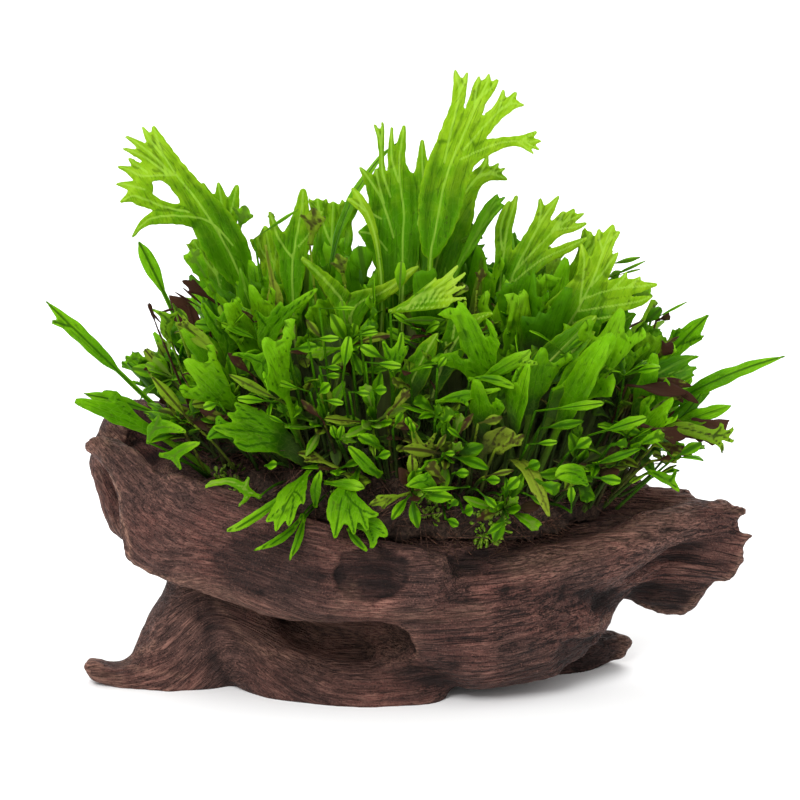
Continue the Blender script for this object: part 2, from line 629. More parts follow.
def woodFinish():
    paint = Paint("weatheredDriftwood")
    place = paint.place()
    grain = paint.field("grain", "Vector")
    fibre = paint.ramp(paint.noise(paint.stretched(grain, (1, 1, 0.11)), 2.3, 2, 0.6), 0.36, 0.66)
    strand = paint.ramp(paint.noise(paint.stretched(grain, (1, 1, 0.06)), 0.90, 3, 0.6), 0.34, 0.64)
    line = paint.noise(paint.stretched(grain, (1, 1, 0.045)), 0.62, 2, 0.5)
    groove = paint.ramp(paint.maths("ABSOLUTE", paint.maths("SUBTRACT", line, 0.46)), 0.006, 0.045)
    speck = paint.noise(place, 1900, 2, 0.6)
    crease, rim, sky, mark, shade = (paint.field(key) for key in ("crease", "rim", "sky", "mark", "shade"))
    patch = paint.ramp(paint.noise(place, 34, 3, 0.6), 0.38, 0.64)
    redness = paint.ramp(paint.noise(paint.shifted(place, (0.3, 0.1, 0.2)), 24, 2, 0.5), 0.40, 0.64)
    black, dark, brown, red, pale, worn = woodTones.values()
    body = paint.mix(redness, brown, red)
    body = paint.mix(paint.maths("MULTIPLY", patch, 0.50), body, dark)
    body = paint.mix(paint.maths("MULTIPLY", paint.maths("SUBTRACT", 1.0, strand), 0.60), body, dark)
    body = paint.mix(paint.ramp(speck, 0.47, 0.34, 0.0, 0.90), body, black)
    light = paint.maths("MULTIPLY", fibre, paint.ramp(crease, -0.4, 0.7, 0.14, 0.70))
    light = paint.maths("MULTIPLY", light, paint.ramp(strand, 0.0, 1.0, 0.30, 1.0))
    light = paint.maths("MULTIPLY", light, paint.ramp(patch, 0.0, 1.0, 1.0, 0.45))
    body = paint.mix(light, body, pale)
    body = paint.mix(paint.ramp(speck, 0.60, 0.72, 0.0, 0.50), body, pale)
    ridgy = paint.ramp(paint.field("ridgy"), 0.0, 1.0, 0.25, 1.0)
    body = paint.mix(paint.maths("MULTIPLY", paint.ramp(groove, 0.55, 0.0, 0.0, 0.85), ridgy), body, black)
    body = paint.mix(paint.ramp(crease, 0.0, -0.8, 0.0, 0.85), body, black)
    # little light or rain reaches the hollows and the wood below the leaves
    body = paint.mix(paint.ramp(sky, 0.22, 0.04, 0.0, 0.35), body, dark)
    body = paint.mix(paint.maths("MULTIPLY", shade, 0.72), body, black)
    edge = paint.maths("MAXIMUM", paint.ramp(rim, 0.5, 1.0, 0.0, 0.35), mark)
    edge = paint.maths("MULTIPLY", edge, paint.ramp(fibre, 0.15, 0.8, 0.25, 0.9))
    body = paint.mix(edge, body, worn)
    paint.link(body, paint.shader.inputs["Base Color"])
    paint.link(paint.ramp(fibre, 0.0, 1.0, 0.85, 0.60), paint.shader.inputs["Roughness"])
    paint.shader.inputs["Specular IOR Level"].default_value = 0.18
    height = paint.maths("ADD", paint.maths("MULTIPLY", fibre, 0.6), paint.maths("MULTIPLY", strand, 0.9))
    height = paint.maths("ADD", height, paint.maths("MULTIPLY", groove, 1.4))
    height = paint.maths("ADD", height, speck)
    paint.link(paint.bump(height, 1.0, 0.45 * mm), paint.shader.inputs["Normal"])
    return paint.material


woodPiece = fineWood()
wear(woodPiece, "driftwood", "driftwood_trunk", "driftwood_left_foot", "driftwood_rear_left_lobe",
     "driftwood_right_wing", "driftwood_right_root")
report("wood")
print("wood faces", len(woodPiece.data.polygons))


# flat leaves: ribbons (u, v, half width) joined with soft crotches, then laid on a curve

leafSizes = dict(
    thickness=0.34, veinHeight=0.10,
    crotch=0.36,          # rounding where fingers part
    fingerShare=0.9,      # of the drawn half widths, so that the gaps stay open
    seamDepth=0.42,       # of the crease between two fingers
    # cells of the grids that the flat leaves are cut from
    tallCell=0.62, smallCell=0.8, innerCell=1.2, deepCell=1.4, tinyCell=0.8, miniCell=1.25,
    foldHeight=0.60, foldPitch=3.6, cupRise=0.018, waveHeight=0.35, veinDip=0.22,
    # how far along its rhizome a frond's root is tried, and how many degrees it is tilted
    slides=(0.0, 0.04, -0.04, 0.08, -0.08, 0.13, -0.13),
    tilts=(0, 5, -5, 10, -10, 15, -15, 21, -21, 28, -28),
    fitGain=0.5, fitEnough=8,      # of a frond's box against its solid's, over all six sides
    rootRadius=2.2, rootGap=0.3, stalk=1.7,
)


def ribbon(start, angle, length, halfWidths, ease=0.0, toward=0.0):
    count = len(halfWidths)
    rows = [(start[0], start[1], halfWidths[0])]
    u, v = start[:2]
    for k in range(1, count):
        heading = angle + (toward - angle) * ease * k / (count - 1)
        u += math.cos(heading) * length / (count - 1)
        v += math.sin(heading) * length / (count - 1)
        rows.append((u, v, halfWidths[k]))
    return np.array(rows)


def sideTeeth(parent, heading, reach, wide, rng, count, low=0.45, high=0.9):
    # small pointed teeth on alternate sides of a finger
    found = []
    sign = 1 if rng.random() < 0.5 else -1
    for k in range(count):
        share = low + (high - low) * (k + rng.uniform(0.1, 0.9)) / count
        foot = parent[int(share * (len(parent) - 1))]
        lean = heading + sign * math.radians(rng.uniform(24, 46))
        long = reach * rng.uniform(0.8, 1.25)
        s = np.linspace(0, 1, 8)
        found.append(ribbon(foot, lean, long, np.maximum(wide / 2 * (1 - s ** 1.6), 0.12), 0.4, heading))
        sign = -sign
    return found


def bladeRibbons(spec, length, rng, fine=1.0):
    # the midrib's ribbon, its fingers and their teeth; the first list also serves as the veins
    x = np.linspace(0.0, 1.0, 60)
    blade = np.clip((x - spec["stalk"]) / (1.0 - spec["stalk"]), 0.0, 1.0)
    half = spec["wide"] / 2 * np.sin(np.pi * blade ** spec["peak"]) ** 0.8
    wave = 1 + 0.07 * np.sin(x * 31 + rng.uniform(0, 6)) + 0.05 * np.sin(x * 57 + rng.uniform(0, 6))
    half = np.maximum(half * wave, np.where(blade > 0.5, 0.35, leafSizes["stalk"] / 2 * (1.1 - 0.4 * x)))
    paths = [(ribbon((0.0, 0.0), 0.0, length, half), 0.0)]
    teeth = []
    pair = int(round(2 * fine))
    for parent, place, angle, reach, wide, prongs in spec["lobes"]:
        path, heading = paths[parent]
        foot = path[int(place * (len(path) - 1))]
        lean = heading + math.radians(angle)
        s = np.linspace(0.0, 1.0, 22)
        if prongs > 1:
            half = wide / 2 * np.where(s < 0.8, 0.70 + 0.3 * s, np.maximum(0.94 - (s - 0.8) * 3.6, 0.2))
        else:
            half = np.maximum(wide / 2 * (1 - s ** 1.6), 0.2)
        half = half * (1 + 0.08 * np.sin(s * 14 + rng.uniform(0, 6)))
        lobe = ribbon(foot, lean, reach, half, 0.45, heading)
        endLean = lean + (heading - lean) * 0.45
        paths.append((lobe, lean * 0.7 + heading * 0.3))
        if prongs > 1:
            root = lobe[int(0.7 * (len(lobe) - 1))]
            for k in range(prongs):
                share = k / (prongs - 1) * 2 - 1
                prong = max(0.34 * reach, 4.8) + wide * 0.15 + rng.uniform(-0.6, 0.9)
                half = np.maximum(wide * 0.21 * (1 - s ** 2.2), 0.15)
                teeth.append(ribbon(root, endLean + share * math.radians(30), prong, half))
        if reach > 9:
            teeth += sideTeeth(lobe, endLean, 2.6 + 0.11 * reach, 1.5 + 0.12 * wide, rng, pair)
        elif reach > 6:
            teeth += sideTeeth(lobe, endLean, 2.2, 1.4, rng, 1)
    if not spec["lobes"] and spec["wide"] > 5:
        teeth += sideTeeth(paths[0][0], 0.0, 2.0, 1.6, rng, pair, 0.7, 0.92)
    elif spec["wide"] > 8:
        teeth += sideTeeth(paths[0][0][:48], 0.0, 0.5 * spec["wide"] + 2.4, 2.4, rng, pair, 0.75, 0.98)
    return [p for p, _ in paths], teeth


def drawnRibbons(spec, curve):
    # fingers given as (x, seen height, half width), flattened along the frond's curve; the first goes on
    # from the stalk
    seen = np.stack([curve[:, 0], seenHeight(curve)], axis=1)
    spans, places = spansAlong(curve)
    steps = np.diff(seen, axis=0)
    fingers = []
    for points in spec["drawn"]:
        rows = []
        for x, h, r in smoothRows(points, 1.2):
            away = np.array([x, h]) - seen[:-1]
            share = (away * steps).sum(1) / (steps ** 2).sum(1)
            share[1:] = np.maximum(share[1:], 0.0)
            share[:-1] = np.minimum(share[:-1], 1.0)
            far = away - steps * share[:, None]
            k = int(np.argmin(np.linalg.norm(far, axis=1)))
            across = (far[k, 0] * steps[k, 1] - far[k, 1] * steps[k, 0]) / np.linalg.norm(steps[k])
            rows.append((places[k] + spans[k] * share[k], across, max(r, 0.3)))
        rows = np.array(rows)
        rows[:, 2] *= leafSizes["fingerShare"] if fingers else 1.0
        rows[:, 2] *= 1 + 0.05 * np.sin(np.arange(len(rows)) * 1.9 + len(fingers))
        fingers.append(rows)
    foot = fingers[0][0]
    share = np.linspace(0.0, 1.0, 40)[:-1, None]
    stalk = share * [foot[0], foot[1], 0.0] + [0.0, 0.0, leafSizes["stalk"] / 2]
    return [np.vstack([stalk, fingers[0]])] + fingers[1:]


def ribbonDistance(rows, u, v):
    # distance to the ribbon's rim, negative inside, and to its middle line
    rim = np.full(u.shape, 1e3)
    line = np.full(u.shape, 1e3)
    for (u0, v0, r0), (u1, v1, r1) in zip(rows[:-1], rows[1:]):
        du, dv = u1 - u0, v1 - v0
        t = np.clip(((u - u0) * du + (v - v0) * dv) / max(du * du + dv * dv, 1e-9), 0, 1)
        far = np.hypot(u - u0 - t * du, v - v0 - t * dv)
        rim = np.minimum(rim, far - (r0 + (r1 - r0) * t))
        line = np.minimum(line, far)
    return rim, line


def noCornerTouch(solid):
    # cells that meet only at a corner get a neighbour in common
    solid = solid.copy()
    while True:
        a, b = solid[:-1, :-1], solid[1:, 1:]
        c, d = solid[1:, :-1], solid[:-1, 1:]
        one = a & b & ~c & ~d
        two = c & d & ~a & ~b
        if not (one.any() or two.any()):
            return solid
        solid[1:, :-1] |= one
        solid[:-1, :-1] |= two


def oneRegion(solid, i, j):
    # the cells that hang together with cell (i, j)
    reached = np.zeros_like(solid)
    reached[i, j] = True
    reached &= solid
    while True:
        grown = reached.copy()
        grown[1:] |= reached[:-1]
        grown[:-1] |= reached[1:]
        grown[:, 1:] |= reached[:, :-1]
        grown[:, :-1] |= reached[:, 1:]
        grown &= solid
        if (grown == reached).all():
            return reached
        reached = grown


def flatLeaf(ribbons, teeth, cell):
    # the leaf's flat points and quads, with each point's distance to the rim and to the veins
    every = ribbons + teeth
    rows = np.vstack(every)
    margin = 3 * cell
    u0, v0 = rows[:, 0].min() - rows[:, 2].max() - margin, rows[:, 1].min() - rows[:, 2].max() - margin
    us = np.arange(u0, rows[:, 0].max() + rows[:, 2].max() + margin, cell)
    vs = np.arange(v0, rows[:, 1].max() + rows[:, 2].max() + margin, cell)
    gu, gv = np.meshgrid(us, vs, indexing="ij")
    soft = leafSizes["crotch"]
    total = np.zeros(gu.shape)
    for path in every:
        reach = path[:, 2].max() + 5
        low = np.maximum(((path[:, :2].min(0) - reach - (u0, v0)) / cell).astype(int), 0)
        high = ((path[:, :2].max(0) + reach - (u0, v0)) / cell).astype(int) + 2
        part = (slice(low[0], high[0]), slice(low[1], high[1]))
        rim, _ = ribbonDistance(path, gu[part], gv[part])
        total[part] += np.exp(-np.clip(rim / soft, -40, 40))
    field = -soft * np.log(np.maximum(total, 1e-12))
    solid = (field[:-1, :-1] + field[1:, :-1] + field[:-1, 1:] + field[1:, 1:]) < 0
    start = ribbons[0][20]
    solid = oneRegion(noCornerTouch(solid), int((start[0] - u0) / cell), int((start[1] - v0) / cell))
    number = {}
    quads = []
    for i, j in np.argwhere(solid):
        corners = ((i, j), (i + 1, j), (i + 1, j + 1), (i, j + 1))
        quads.append([number.setdefault(key, len(number)) for key in corners])
    keys = np.array(list(number))
    quads = np.array(quads)
    u, v = us[keys[:, 0]], vs[keys[:, 1]]
    onRim = np.bincount(quads.ravel(), minlength=len(keys)) < 4
    slopeU, slopeV = np.gradient(field, cell)
    for _ in range(3):
        value = readGrid(field, u0, v0, cell, u, v)
        a, b = readGrid(slopeU, u0, v0, cell, u, v), readGrid(slopeV, u0, v0, cell, u, v)
        step = np.clip(value / np.maximum(a ** 2 + b ** 2, 0.2), -0.36 * cell, 0.36 * cell) * onRim
        u, v = u - step * a, v - step * b
    edge = np.maximum(-readGrid(field, u0, v0, cell, u, v), 0.0)
    edge[onRim] = 0.0
    # the seam, where one finger's blade gives way to the next, is a crease that fades inward
    vein, first, second = (np.full(len(u), 1e3) for _ in range(3))
    for k, path in enumerate(every):
        rim, line = ribbonDistance(path, u, v)
        vein = np.minimum(vein, line + (0.0 if k < len(ribbons) else 0.25))
        if k > 0:        # a finger's foot lies wholly in its parent, where there is no seam
            away = np.hypot(path[:, 0] - path[0, 0], path[:, 1] - path[0, 1])
            path = path[min(int((away < 1.5 * path[0, 2] + 1.0).sum()), len(path) - 2):]
            rim, _ = ribbonDistance(path, u, v)
        second = np.minimum(second, np.maximum(first, rim))
        first = np.minimum(first, rim)
    seam = np.where(second < 0.5, second - first + 0.22 * np.maximum(-first - 1.6, 0.0), 3.0)
    return dict(u=u, v=v, quads=quads, edge=edge, vein=vein, seam=seam, length=ribbons[0][-1, 0])


def stripLeaf(length, wide, stalk, peak, rows, columns, stem, blunt):
    # a plain leaf on a small grid; a low `blunt` rounds its tip
    t = np.linspace(0, 1, rows)
    t[-2] = 0.35 * t[-2] + 0.65 * t[-1]
    x = np.clip((t - stalk) / (1 - stalk), 0, 1)
    half = np.maximum(wide / 2 * np.sin(np.pi * x ** peak) ** blunt, np.where(x > 0.5, 0.12, stem))
    across = np.linspace(-1, 1, columns + 1)
    u = np.repeat(t * length, columns + 1)
    v = (half[:, None] * across[None, :]).ravel()
    edge = (half[:, None] * (1 - np.abs(across))[None, :]).ravel()
    quads = []
    for i in range(rows - 1):
        for j in range(columns):
            a = i * (columns + 1) + j
            quads.append((a, a + columns + 1, a + columns + 2, a + 1))
    seam = np.full(len(u), 3.0)
    return dict(u=u, v=v, quads=np.array(quads), edge=edge, vein=np.abs(v), seam=seam, length=length)


def bendLine(root, bend, tip, count):
    # a curve of `count` points that leaves the root toward the bend and ends at the tip
    t = np.linspace(0.0, 1.0, count)[:, None]
    return root * (1 - t) ** 2 + bend * 2 * t * (1 - t) + tip * t ** 2


def layLeaf(flat, curve, facing, turn, twist=0.0, cup=1.0, folds=1.0, phase=0.0, scale=1.0):
    # the flat leaf on its curve; `facing` is where its upper side looks, or None to lie flat like an arch
    u, v = flat["u"] * scale, flat["v"] * scale
    _, places = spansAlong(curve)
    ways = np.gradient(curve, axis=0)
    ways /= np.linalg.norm(ways, axis=1)[:, None]
    centre = np.stack([np.interp(u, places, curve[:, k]) for k in range(3)], axis=1)
    along = np.stack([np.interp(u, places, ways[:, k]) for k in range(3)], axis=1)
    along /= np.linalg.norm(along, axis=1)[:, None]
    centre += along * (np.maximum(u - places[-1], 0.0) + np.minimum(u, 0.0))[:, None]
    if facing is None:
        heading = curve[-1] - curve[0]
        side = np.tile([heading[1], -heading[0], 0.0], (len(u), 1))
        side -= along * (side * along).sum(1)[:, None]
    else:
        side = np.cross(along, np.asarray(facing, float))
    side /= np.maximum(np.linalg.norm(side, axis=1), 1e-6)[:, None]
    normal = np.cross(side, along)
    angle = np.radians(turn + twist * u / places[-1])[:, None]
    turned = side * np.cos(angle) + normal * np.sin(angle)
    side, normal = turned, normal * np.cos(angle) - side * np.sin(angle)
    rise = cup * leafSizes["cupRise"] * v ** 2
    inner = np.clip(flat["edge"] * scale / 1.5, 0, 1)
    wave = np.sin(v * 2 * math.pi / leafSizes["foldPitch"] + 0.12 * u + phase)
    wave = folds * leafSizes["foldHeight"] * 0.5 * wave
    rise += wave * np.clip(np.abs(v) / 3.0, 0, 1) * (0.4 + 0.6 * inner)
    wave = folds * leafSizes["waveHeight"] * np.sin(u * 0.42 + phase * 1.7)
    rise += wave * np.clip(np.abs(v) / 4.0, 0, 1.5)
    rise -= folds * leafSizes["veinDip"] * np.exp(-(flat["vein"] * scale / 0.7) ** 2)
    rise -= folds * leafSizes["seamDepth"] * np.exp(-(flat["seam"] / 0.9) ** 2) * inner
    return centre + side * v[:, None] + normal * rise[:, None]


def closeSheet(points, flat, scale):
    # two faces and a rim; the sheet thins toward its rim
    quads = flat["quads"]
    normal = np.zeros_like(points)
    facing = np.cross(points[quads[:, 2]] - points[quads[:, 0]], points[quads[:, 3]] - points[quads[:, 1]])
    for k in range(4):
        np.add.at(normal, quads[:, k], facing)
    normal /= np.maximum(np.linalg.norm(normal, axis=1), 1e-9)[:, None]
    half = leafSizes["thickness"] / 2 * np.clip(0.4 + flat["edge"] * scale, 0.4, 1.0)
    half = half + leafSizes["veinHeight"] * np.exp(-(flat["vein"] * scale / 0.45) ** 2)
    count = len(points)
    edges = np.vstack([quads[:, [k, (k + 1) % 4]] for k in range(4)])
    code = edges[:, 0] * count + edges[:, 1]
    back = edges[:, 1] * count + edges[:, 0]
    near, far = edges[~np.isin(code, back)].T
    rim = np.stack([far, near, near + count, far + count], axis=1)
    both = np.vstack([points + normal * half[:, None], points - normal * half[:, None]])
    return both, np.vstack([quads, quads[:, ::-1] + count, rim])


class LeafStack:
    # gathers leaves into one mesh, with the numbers that the finish reads
    def __init__(self):
        self.points, self.faces, self.count, self.fields = [], [], 0, {}

    def gather(self, points, faces, places, **values):
        # a value is one number, or one for each point of the leaf's upper side
        self.points.append(points)
        self.faces.append(faces + self.count)
        self.count += len(points)
        self.fields.setdefault("leafPlace", []).append(places)
        for key, value in values.items():
            self.fields.setdefault(key, []).append(np.resize(value, len(points)))

    def add(self, flat, points, tint, ripe, scale, seed, old):
        # ripe: 0 has pale veins, 1 a dark midrib; old: 0 green, 0.5 yellow with spots, 1 brown
        both, faces = closeSheet(points, flat, scale)
        place = np.stack([flat["u"] * scale, flat["v"] * scale, np.full(len(points), seed)], axis=1)
        self.gather(both, faces, np.vstack([place, place]), tint=tint, ripe=ripe, old=old,
                    vein=flat["vein"] * scale, edge=flat["edge"] * scale, seam=flat["seam"],
                    along=flat["u"] / flat["length"])

    def addStem(self, path, radii, tint=0.3, old=0.0):
        # a thin closed tube with the same numbers
        points, faces, caps = tubeMesh(path, radii, 4)
        self.gather(points, np.vstack([faces, caps]), points, tint=tint, ripe=0.0, old=old,
                    vein=2.0, edge=2.0, seam=3.0, along=0.25)

    def finish(self, name, material):
        fields = {key: np.concatenate(values) for key, values in self.fields.items()}
        return meshPiece(name, np.vstack(self.points), np.vstack(self.faces), material, fields)


def tubeMesh(path, radii, sides):
    # points and quads of a tube, and the corners of its two ends
    ways = np.gradient(path, axis=0)
    ways /= np.maximum(np.linalg.norm(ways, axis=1), 1e-9)[:, None]
    side = np.cross(ways, [0.31, 0.87, 0.39])
    side /= np.maximum(np.linalg.norm(side, axis=1), 1e-9)[:, None]
    up = np.cross(ways, side)
    turn = np.linspace(0, 2 * math.pi, sides, endpoint=False)
    ring = np.cos(turn)[None, :, None] * side[:, None, :] + np.sin(turn)[None, :, None] * up[:, None, :]
    points = (path[:, None, :] + radii[:, None, None] * ring).reshape(-1, 3)
    faces = []
    for i in range(len(path) - 1):
        for j in range(sides):
            a, b = i * sides + j, i * sides + (j + 1) % sides
            faces.append((a, b, b + sides, a + sides))
    far = (len(path) - 1) * sides
    return points, np.array(faces), [list(range(sides))[::-1], [far + j for j in range(sides)]]


# leaf finishes: tip, body and base go from the young end to the old one

leafPalettes = {
    "frond_green": dict(tip=(0.330, 0.500, 0.012), body=(0.086, 0.270, 0.000), base=(0.022, 0.095, 0.000),
                        vein=(0.460, 0.660, 0.090), glow=0.42),
    "frond_deep": dict(tip=(0.090, 0.270, 0.001), body=(0.038, 0.150, 0.000), base=(0.013, 0.058, 0.000),
                       vein=(0.160, 0.330, 0.020), glow=0.32),
    "frond_spotted": dict(tip=(0.240, 0.330, 0.035), body=(0.140, 0.240, 0.015), base=(0.048, 0.105, 0.006),
                          vein=(0.045, 0.016, 0.010), glow=0.30),
    "frond_brown": dict(tip=(0.105, 0.052, 0.028), body=(0.056, 0.027, 0.017), base=(0.024, 0.013, 0.010),
                        vein=(0.095, 0.050, 0.028), glow=0.10),
}
leafSpot = (0.034, 0.012, 0.008)
leafOld = (0.240, 0.315, 0.022)
leafDead = (0.052, 0.022, 0.012)
leafPaleTip = (0.450, 0.600, 0.085)
leafFreshTip = (0.215, 0.470, 0.004)
leafThrough = (0.66, 0.95, 0.00)         # what daylight adds on its way through a blade
leafSilt = (0.0820, 0.0900, 0.0380)      # of the inner leaves, dark with age and silt


def leafFinish(slot):
    tones = leafPalettes[slot]
    paint = Paint(slot)
    flatPlace = paint.field("leafPlace", "Vector")
    along, tint, ripe, old = (paint.field(key) for key in ("along", "tint", "ripe", "old"))
    vein, edge, sky = paint.field("vein"), paint.field("edge"), paint.field("sky")
    blotch = paint.noise(flatPlace, 0.20, 3, 0.55)
    young = paint.maths("ADD", paint.ramp(along, 0.40, 1.0, 0.0, 0.62), paint.maths("MULTIPLY", tint, 0.62))
    young = paint.maths("ADD", young, paint.ramp(blotch, 0.3, 0.7, -0.10, 0.10))
    young = paint.maths("ADD", young, paint.ramp(sky, 0.05, 0.75, -0.40, 0.18))
    colour = paint.mix(paint.ramp(young, -0.05, 0.45), tones["base"], tones["body"])
    tipTone = tones["tip"]
    if slot == "frond_green":
        tipTone = paint.mix(paint.ramp(ripe, 0.15, 0.6), tones["tip"], leafFreshTip)
    colour = paint.mix(paint.ramp(young, 0.60, 1.25), colour, tipTone)
    colour = paint.mix(paint.ramp(edge, 0.55, 0.0, 0.0, 0.35), colour, tipTone)
    if slot == "frond_green":
        paleShare = paint.maths("MULTIPLY", paint.ramp(young, 1.02, 1.50, 0.0, 0.70),
                                paint.ramp(ripe, 0.5, 0.1, 0.25, 1.0))
        colour = paint.mix(paleShare, colour, leafPaleTip)
    # long shaded folds along the blade, and a faint net between the veins
    fold = paint.noise(paint.stretched(flatPlace, (0.045, 0.62, 1.0)), 1.0, 2, 0.55)
    foldLine = paint.ramp(paint.maths("ABSOLUTE", paint.maths("SUBTRACT", fold, 0.5)), 0.030, 0.0)
    foldLine = paint.maths("MULTIPLY", foldLine, paint.ramp(edge, 0.5, 1.6, 0.0, 0.55))
    colour = paint.mix(foldLine, colour, tones["base"])
    streak = paint.noise(paint.stretched(flatPlace, (0.30, 2.4, 1.0)), 0.9, 2, 0.5)
    colour = paint.mix(paint.ramp(streak, 0.44, 0.76, 0.0, 0.24), colour, tones["base"])
    net = paint.cells(paint.stretched(flatPlace, (0.55, 1.0, 1.0)), 0.62)
    netLine = paint.ramp(net, 0.09, 0.0)
    colour = paint.mix(paint.maths("MULTIPLY", netLine, 0.08), colour, tones["vein"])
    seamLine = paint.ramp(paint.field("seam"), 1.5, 0.0, 0.0, 0.55)
    colour = paint.mix(seamLine, colour, tones["base"])
    # veins: pale on the tall young blades, a dark midrib on the small and the old ones
    veinLine = paint.ramp(vein, 0.54, 0.18)
    between = paint.maths("MULTIPLY", paint.ramp(vein, 0.7, 3.2, 0.0, 0.42), paint.ramp(edge, 0.4, 2.2))
    colour = paint.mix(between, colour, tones["base"])
    veinTone = paint.mix(paint.ramp(ripe, 0.3, 0.7), tones["vein"], tones["base"])
    veinTone = paint.mix(paint.ramp(old, 0.2, 0.5), veinTone, leafSpot)
    colour = paint.mix(paint.ramp(old, 0.15, 0.5, 0.0, 0.75), colour, leafOld)
    veinShare = paint.maths("MULTIPLY", veinLine, paint.ramp(ripe, 0.1, 0.5, 0.52, 0.85))
    colour = paint.mix(veinShare, colour, veinTone)
    if slot == "frond_spotted":
        aged = paint.ramp(along, 0.2, 0.6, 0.7, 1.0)
    else:
        aged = paint.ramp(old, 0.1, 0.5)
    speck = paint.ramp(paint.cells(paint.stretched(flatPlace, (0.7, 1.1, 1.0)), 0.85, "F1"), 0.50, 0.26)
    where = paint.noise(flatPlace, 0.24, 2, 0.5)
    speck = paint.maths("MULTIPLY", speck, paint.ramp(where, paint.ramp(aged, 0.0, 1.0, 0.64, 0.40), 0.70))
    speckShare = paint.maths("MULTIPLY", speck, paint.ramp(aged, 0.0, 1.0, 0.35, 0.92))
    colour = paint.mix(speckShare, colour, leafSpot)
    dead = paint.maths("ADD", old, paint.ramp(blotch, 0.3, 0.7, -0.15, 0.15))
    colour = paint.mix(paint.ramp(dead, 0.62, 0.85), colour, leafDead)
    colour = paint.mix(paint.ramp(sky, 0.36, 0.04, 0.0, 0.80), colour, leafSilt)
    paint.link(colour, paint.shader.inputs["Base Color"])
    paint.shader.inputs["Roughness"].default_value = 0.42
    paint.shader.inputs["Specular IOR Level"].default_value = 0.06
    height = paint.maths("MULTIPLY", veinLine, 0.9)
    height = paint.maths("ADD", height, paint.maths("MULTIPLY", netLine, 0.15))
    height = paint.maths("SUBTRACT", height, foldLine)
    height = paint.maths("ADD", height, paint.maths("MULTIPLY", streak, 0.6))
    normal = paint.bump(height, 0.7, 0.16 * mm)
    paint.link(normal, paint.shader.inputs["Normal"])
    through = paint.node("ShaderNodeBsdfTranslucent")
    lit = paint.mix(0.5, colour, leafThrough, "OVERLAY") if slot != "frond_brown" else colour
    paint.link(lit, through.inputs["Color"])
    paint.link(normal, through.inputs["Normal"])
    blend = paint.node("ShaderNodeMixShader")
    blend.inputs[0].default_value = tones["glow"]
    paint.link(paint.shader.outputs[0], blend.inputs[1])
    paint.link(through.outputs[0], blend.inputs[2])
    paint.link(blend.outputs[0], paint.output.inputs["Surface"])
    return paint.material


leafMaterials = {slot: leafFinish(slot) for slot in leafPalettes}


# the fronds, in the attitude that their solids have

rhizomeLines = {
    "left": [(-68, -12, 76), (-48, -9, 80), (-24, -10, 78), (-6, -12, 74)],
    "right": [(6, -14, 72), (26, -11, 69), (46, -5, 68), (60, 1, 68)],
    "rear": [(-58, 13, 78), (-30, 15, 79), (4, 14, 74), (38, 12, 70)],
}
rhizomePoints = {name: smoothRows(rows, 6.0) for name, rows in rhizomeLines.items()}
frondSpecs = {}
leafPieces = []


def frond(name, root, at, bend, tip, wide=12, turn=0, stalk=0.3, peak=1.6, lobes=(), drawn=(), tone="green",
          face="front"):
    shape = dict(wide=wide, turn=turn, stalk=stalk, peak=peak, lobes=lobes, drawn=drawn)
    frondSpecs["frond_" + name] = dict(root=root, at=at, bend=bend, tip=tip, tone=tone, face=face, **shape)


# tall fronds, finger by finger
frond("tall_left", "rear", 0.15, (-58, 6, 145), (-84.6, 0, 181.5), drawn=[
    [(-57, 138, 3), (-61, 147, 6.5), (-66, 156, 6.5), (-72, 165, 4.6), (-78, 172.5, 4.0), (-82, 179, 3.2),
     (-83.4, 183, 2.0), (-84.6, 187, 0.5)],
    [(-60, 150, 4), (-67, 157, 4.4), (-75, 159.2, 3.4), (-83, 159.6, 2.7), (-88.5, 158.4, 1.7),
     (-92.5, 155, 0.5)],
    [(-74, 160.5, 2.5), (-82, 162.3, 1.9), (-88, 165, 2.8), (-92, 166.6, 2.2), (-96, 165.2, 0.5)],
    [(-88, 168, 3.2), (-93, 169.5, 1.6), (-97, 170.2, 0.4)],
    [(-78, 172, 2.2), (-84, 172, 1.8), (-89, 172, 2.4), (-93, 174, 1.3), (-96.4, 175.2, 0.4)],
    [(-87, 173, 2), (-90.5, 175.3, 1.2), (-92.8, 177.5, 0.4)],
    [(-79, 172, 3), (-85, 178, 2.2), (-90, 182, 1.2), (-93.4, 184, 0.4)],
    [(-80, 172, 2.6), (-87, 177, 1.6), (-91.5, 179.4, 1.0), (-94.4, 180.5, 0.4)],
    [(-82, 178, 2.4), (-85.8, 183, 1.5), (-88, 186.8, 0.4)]])
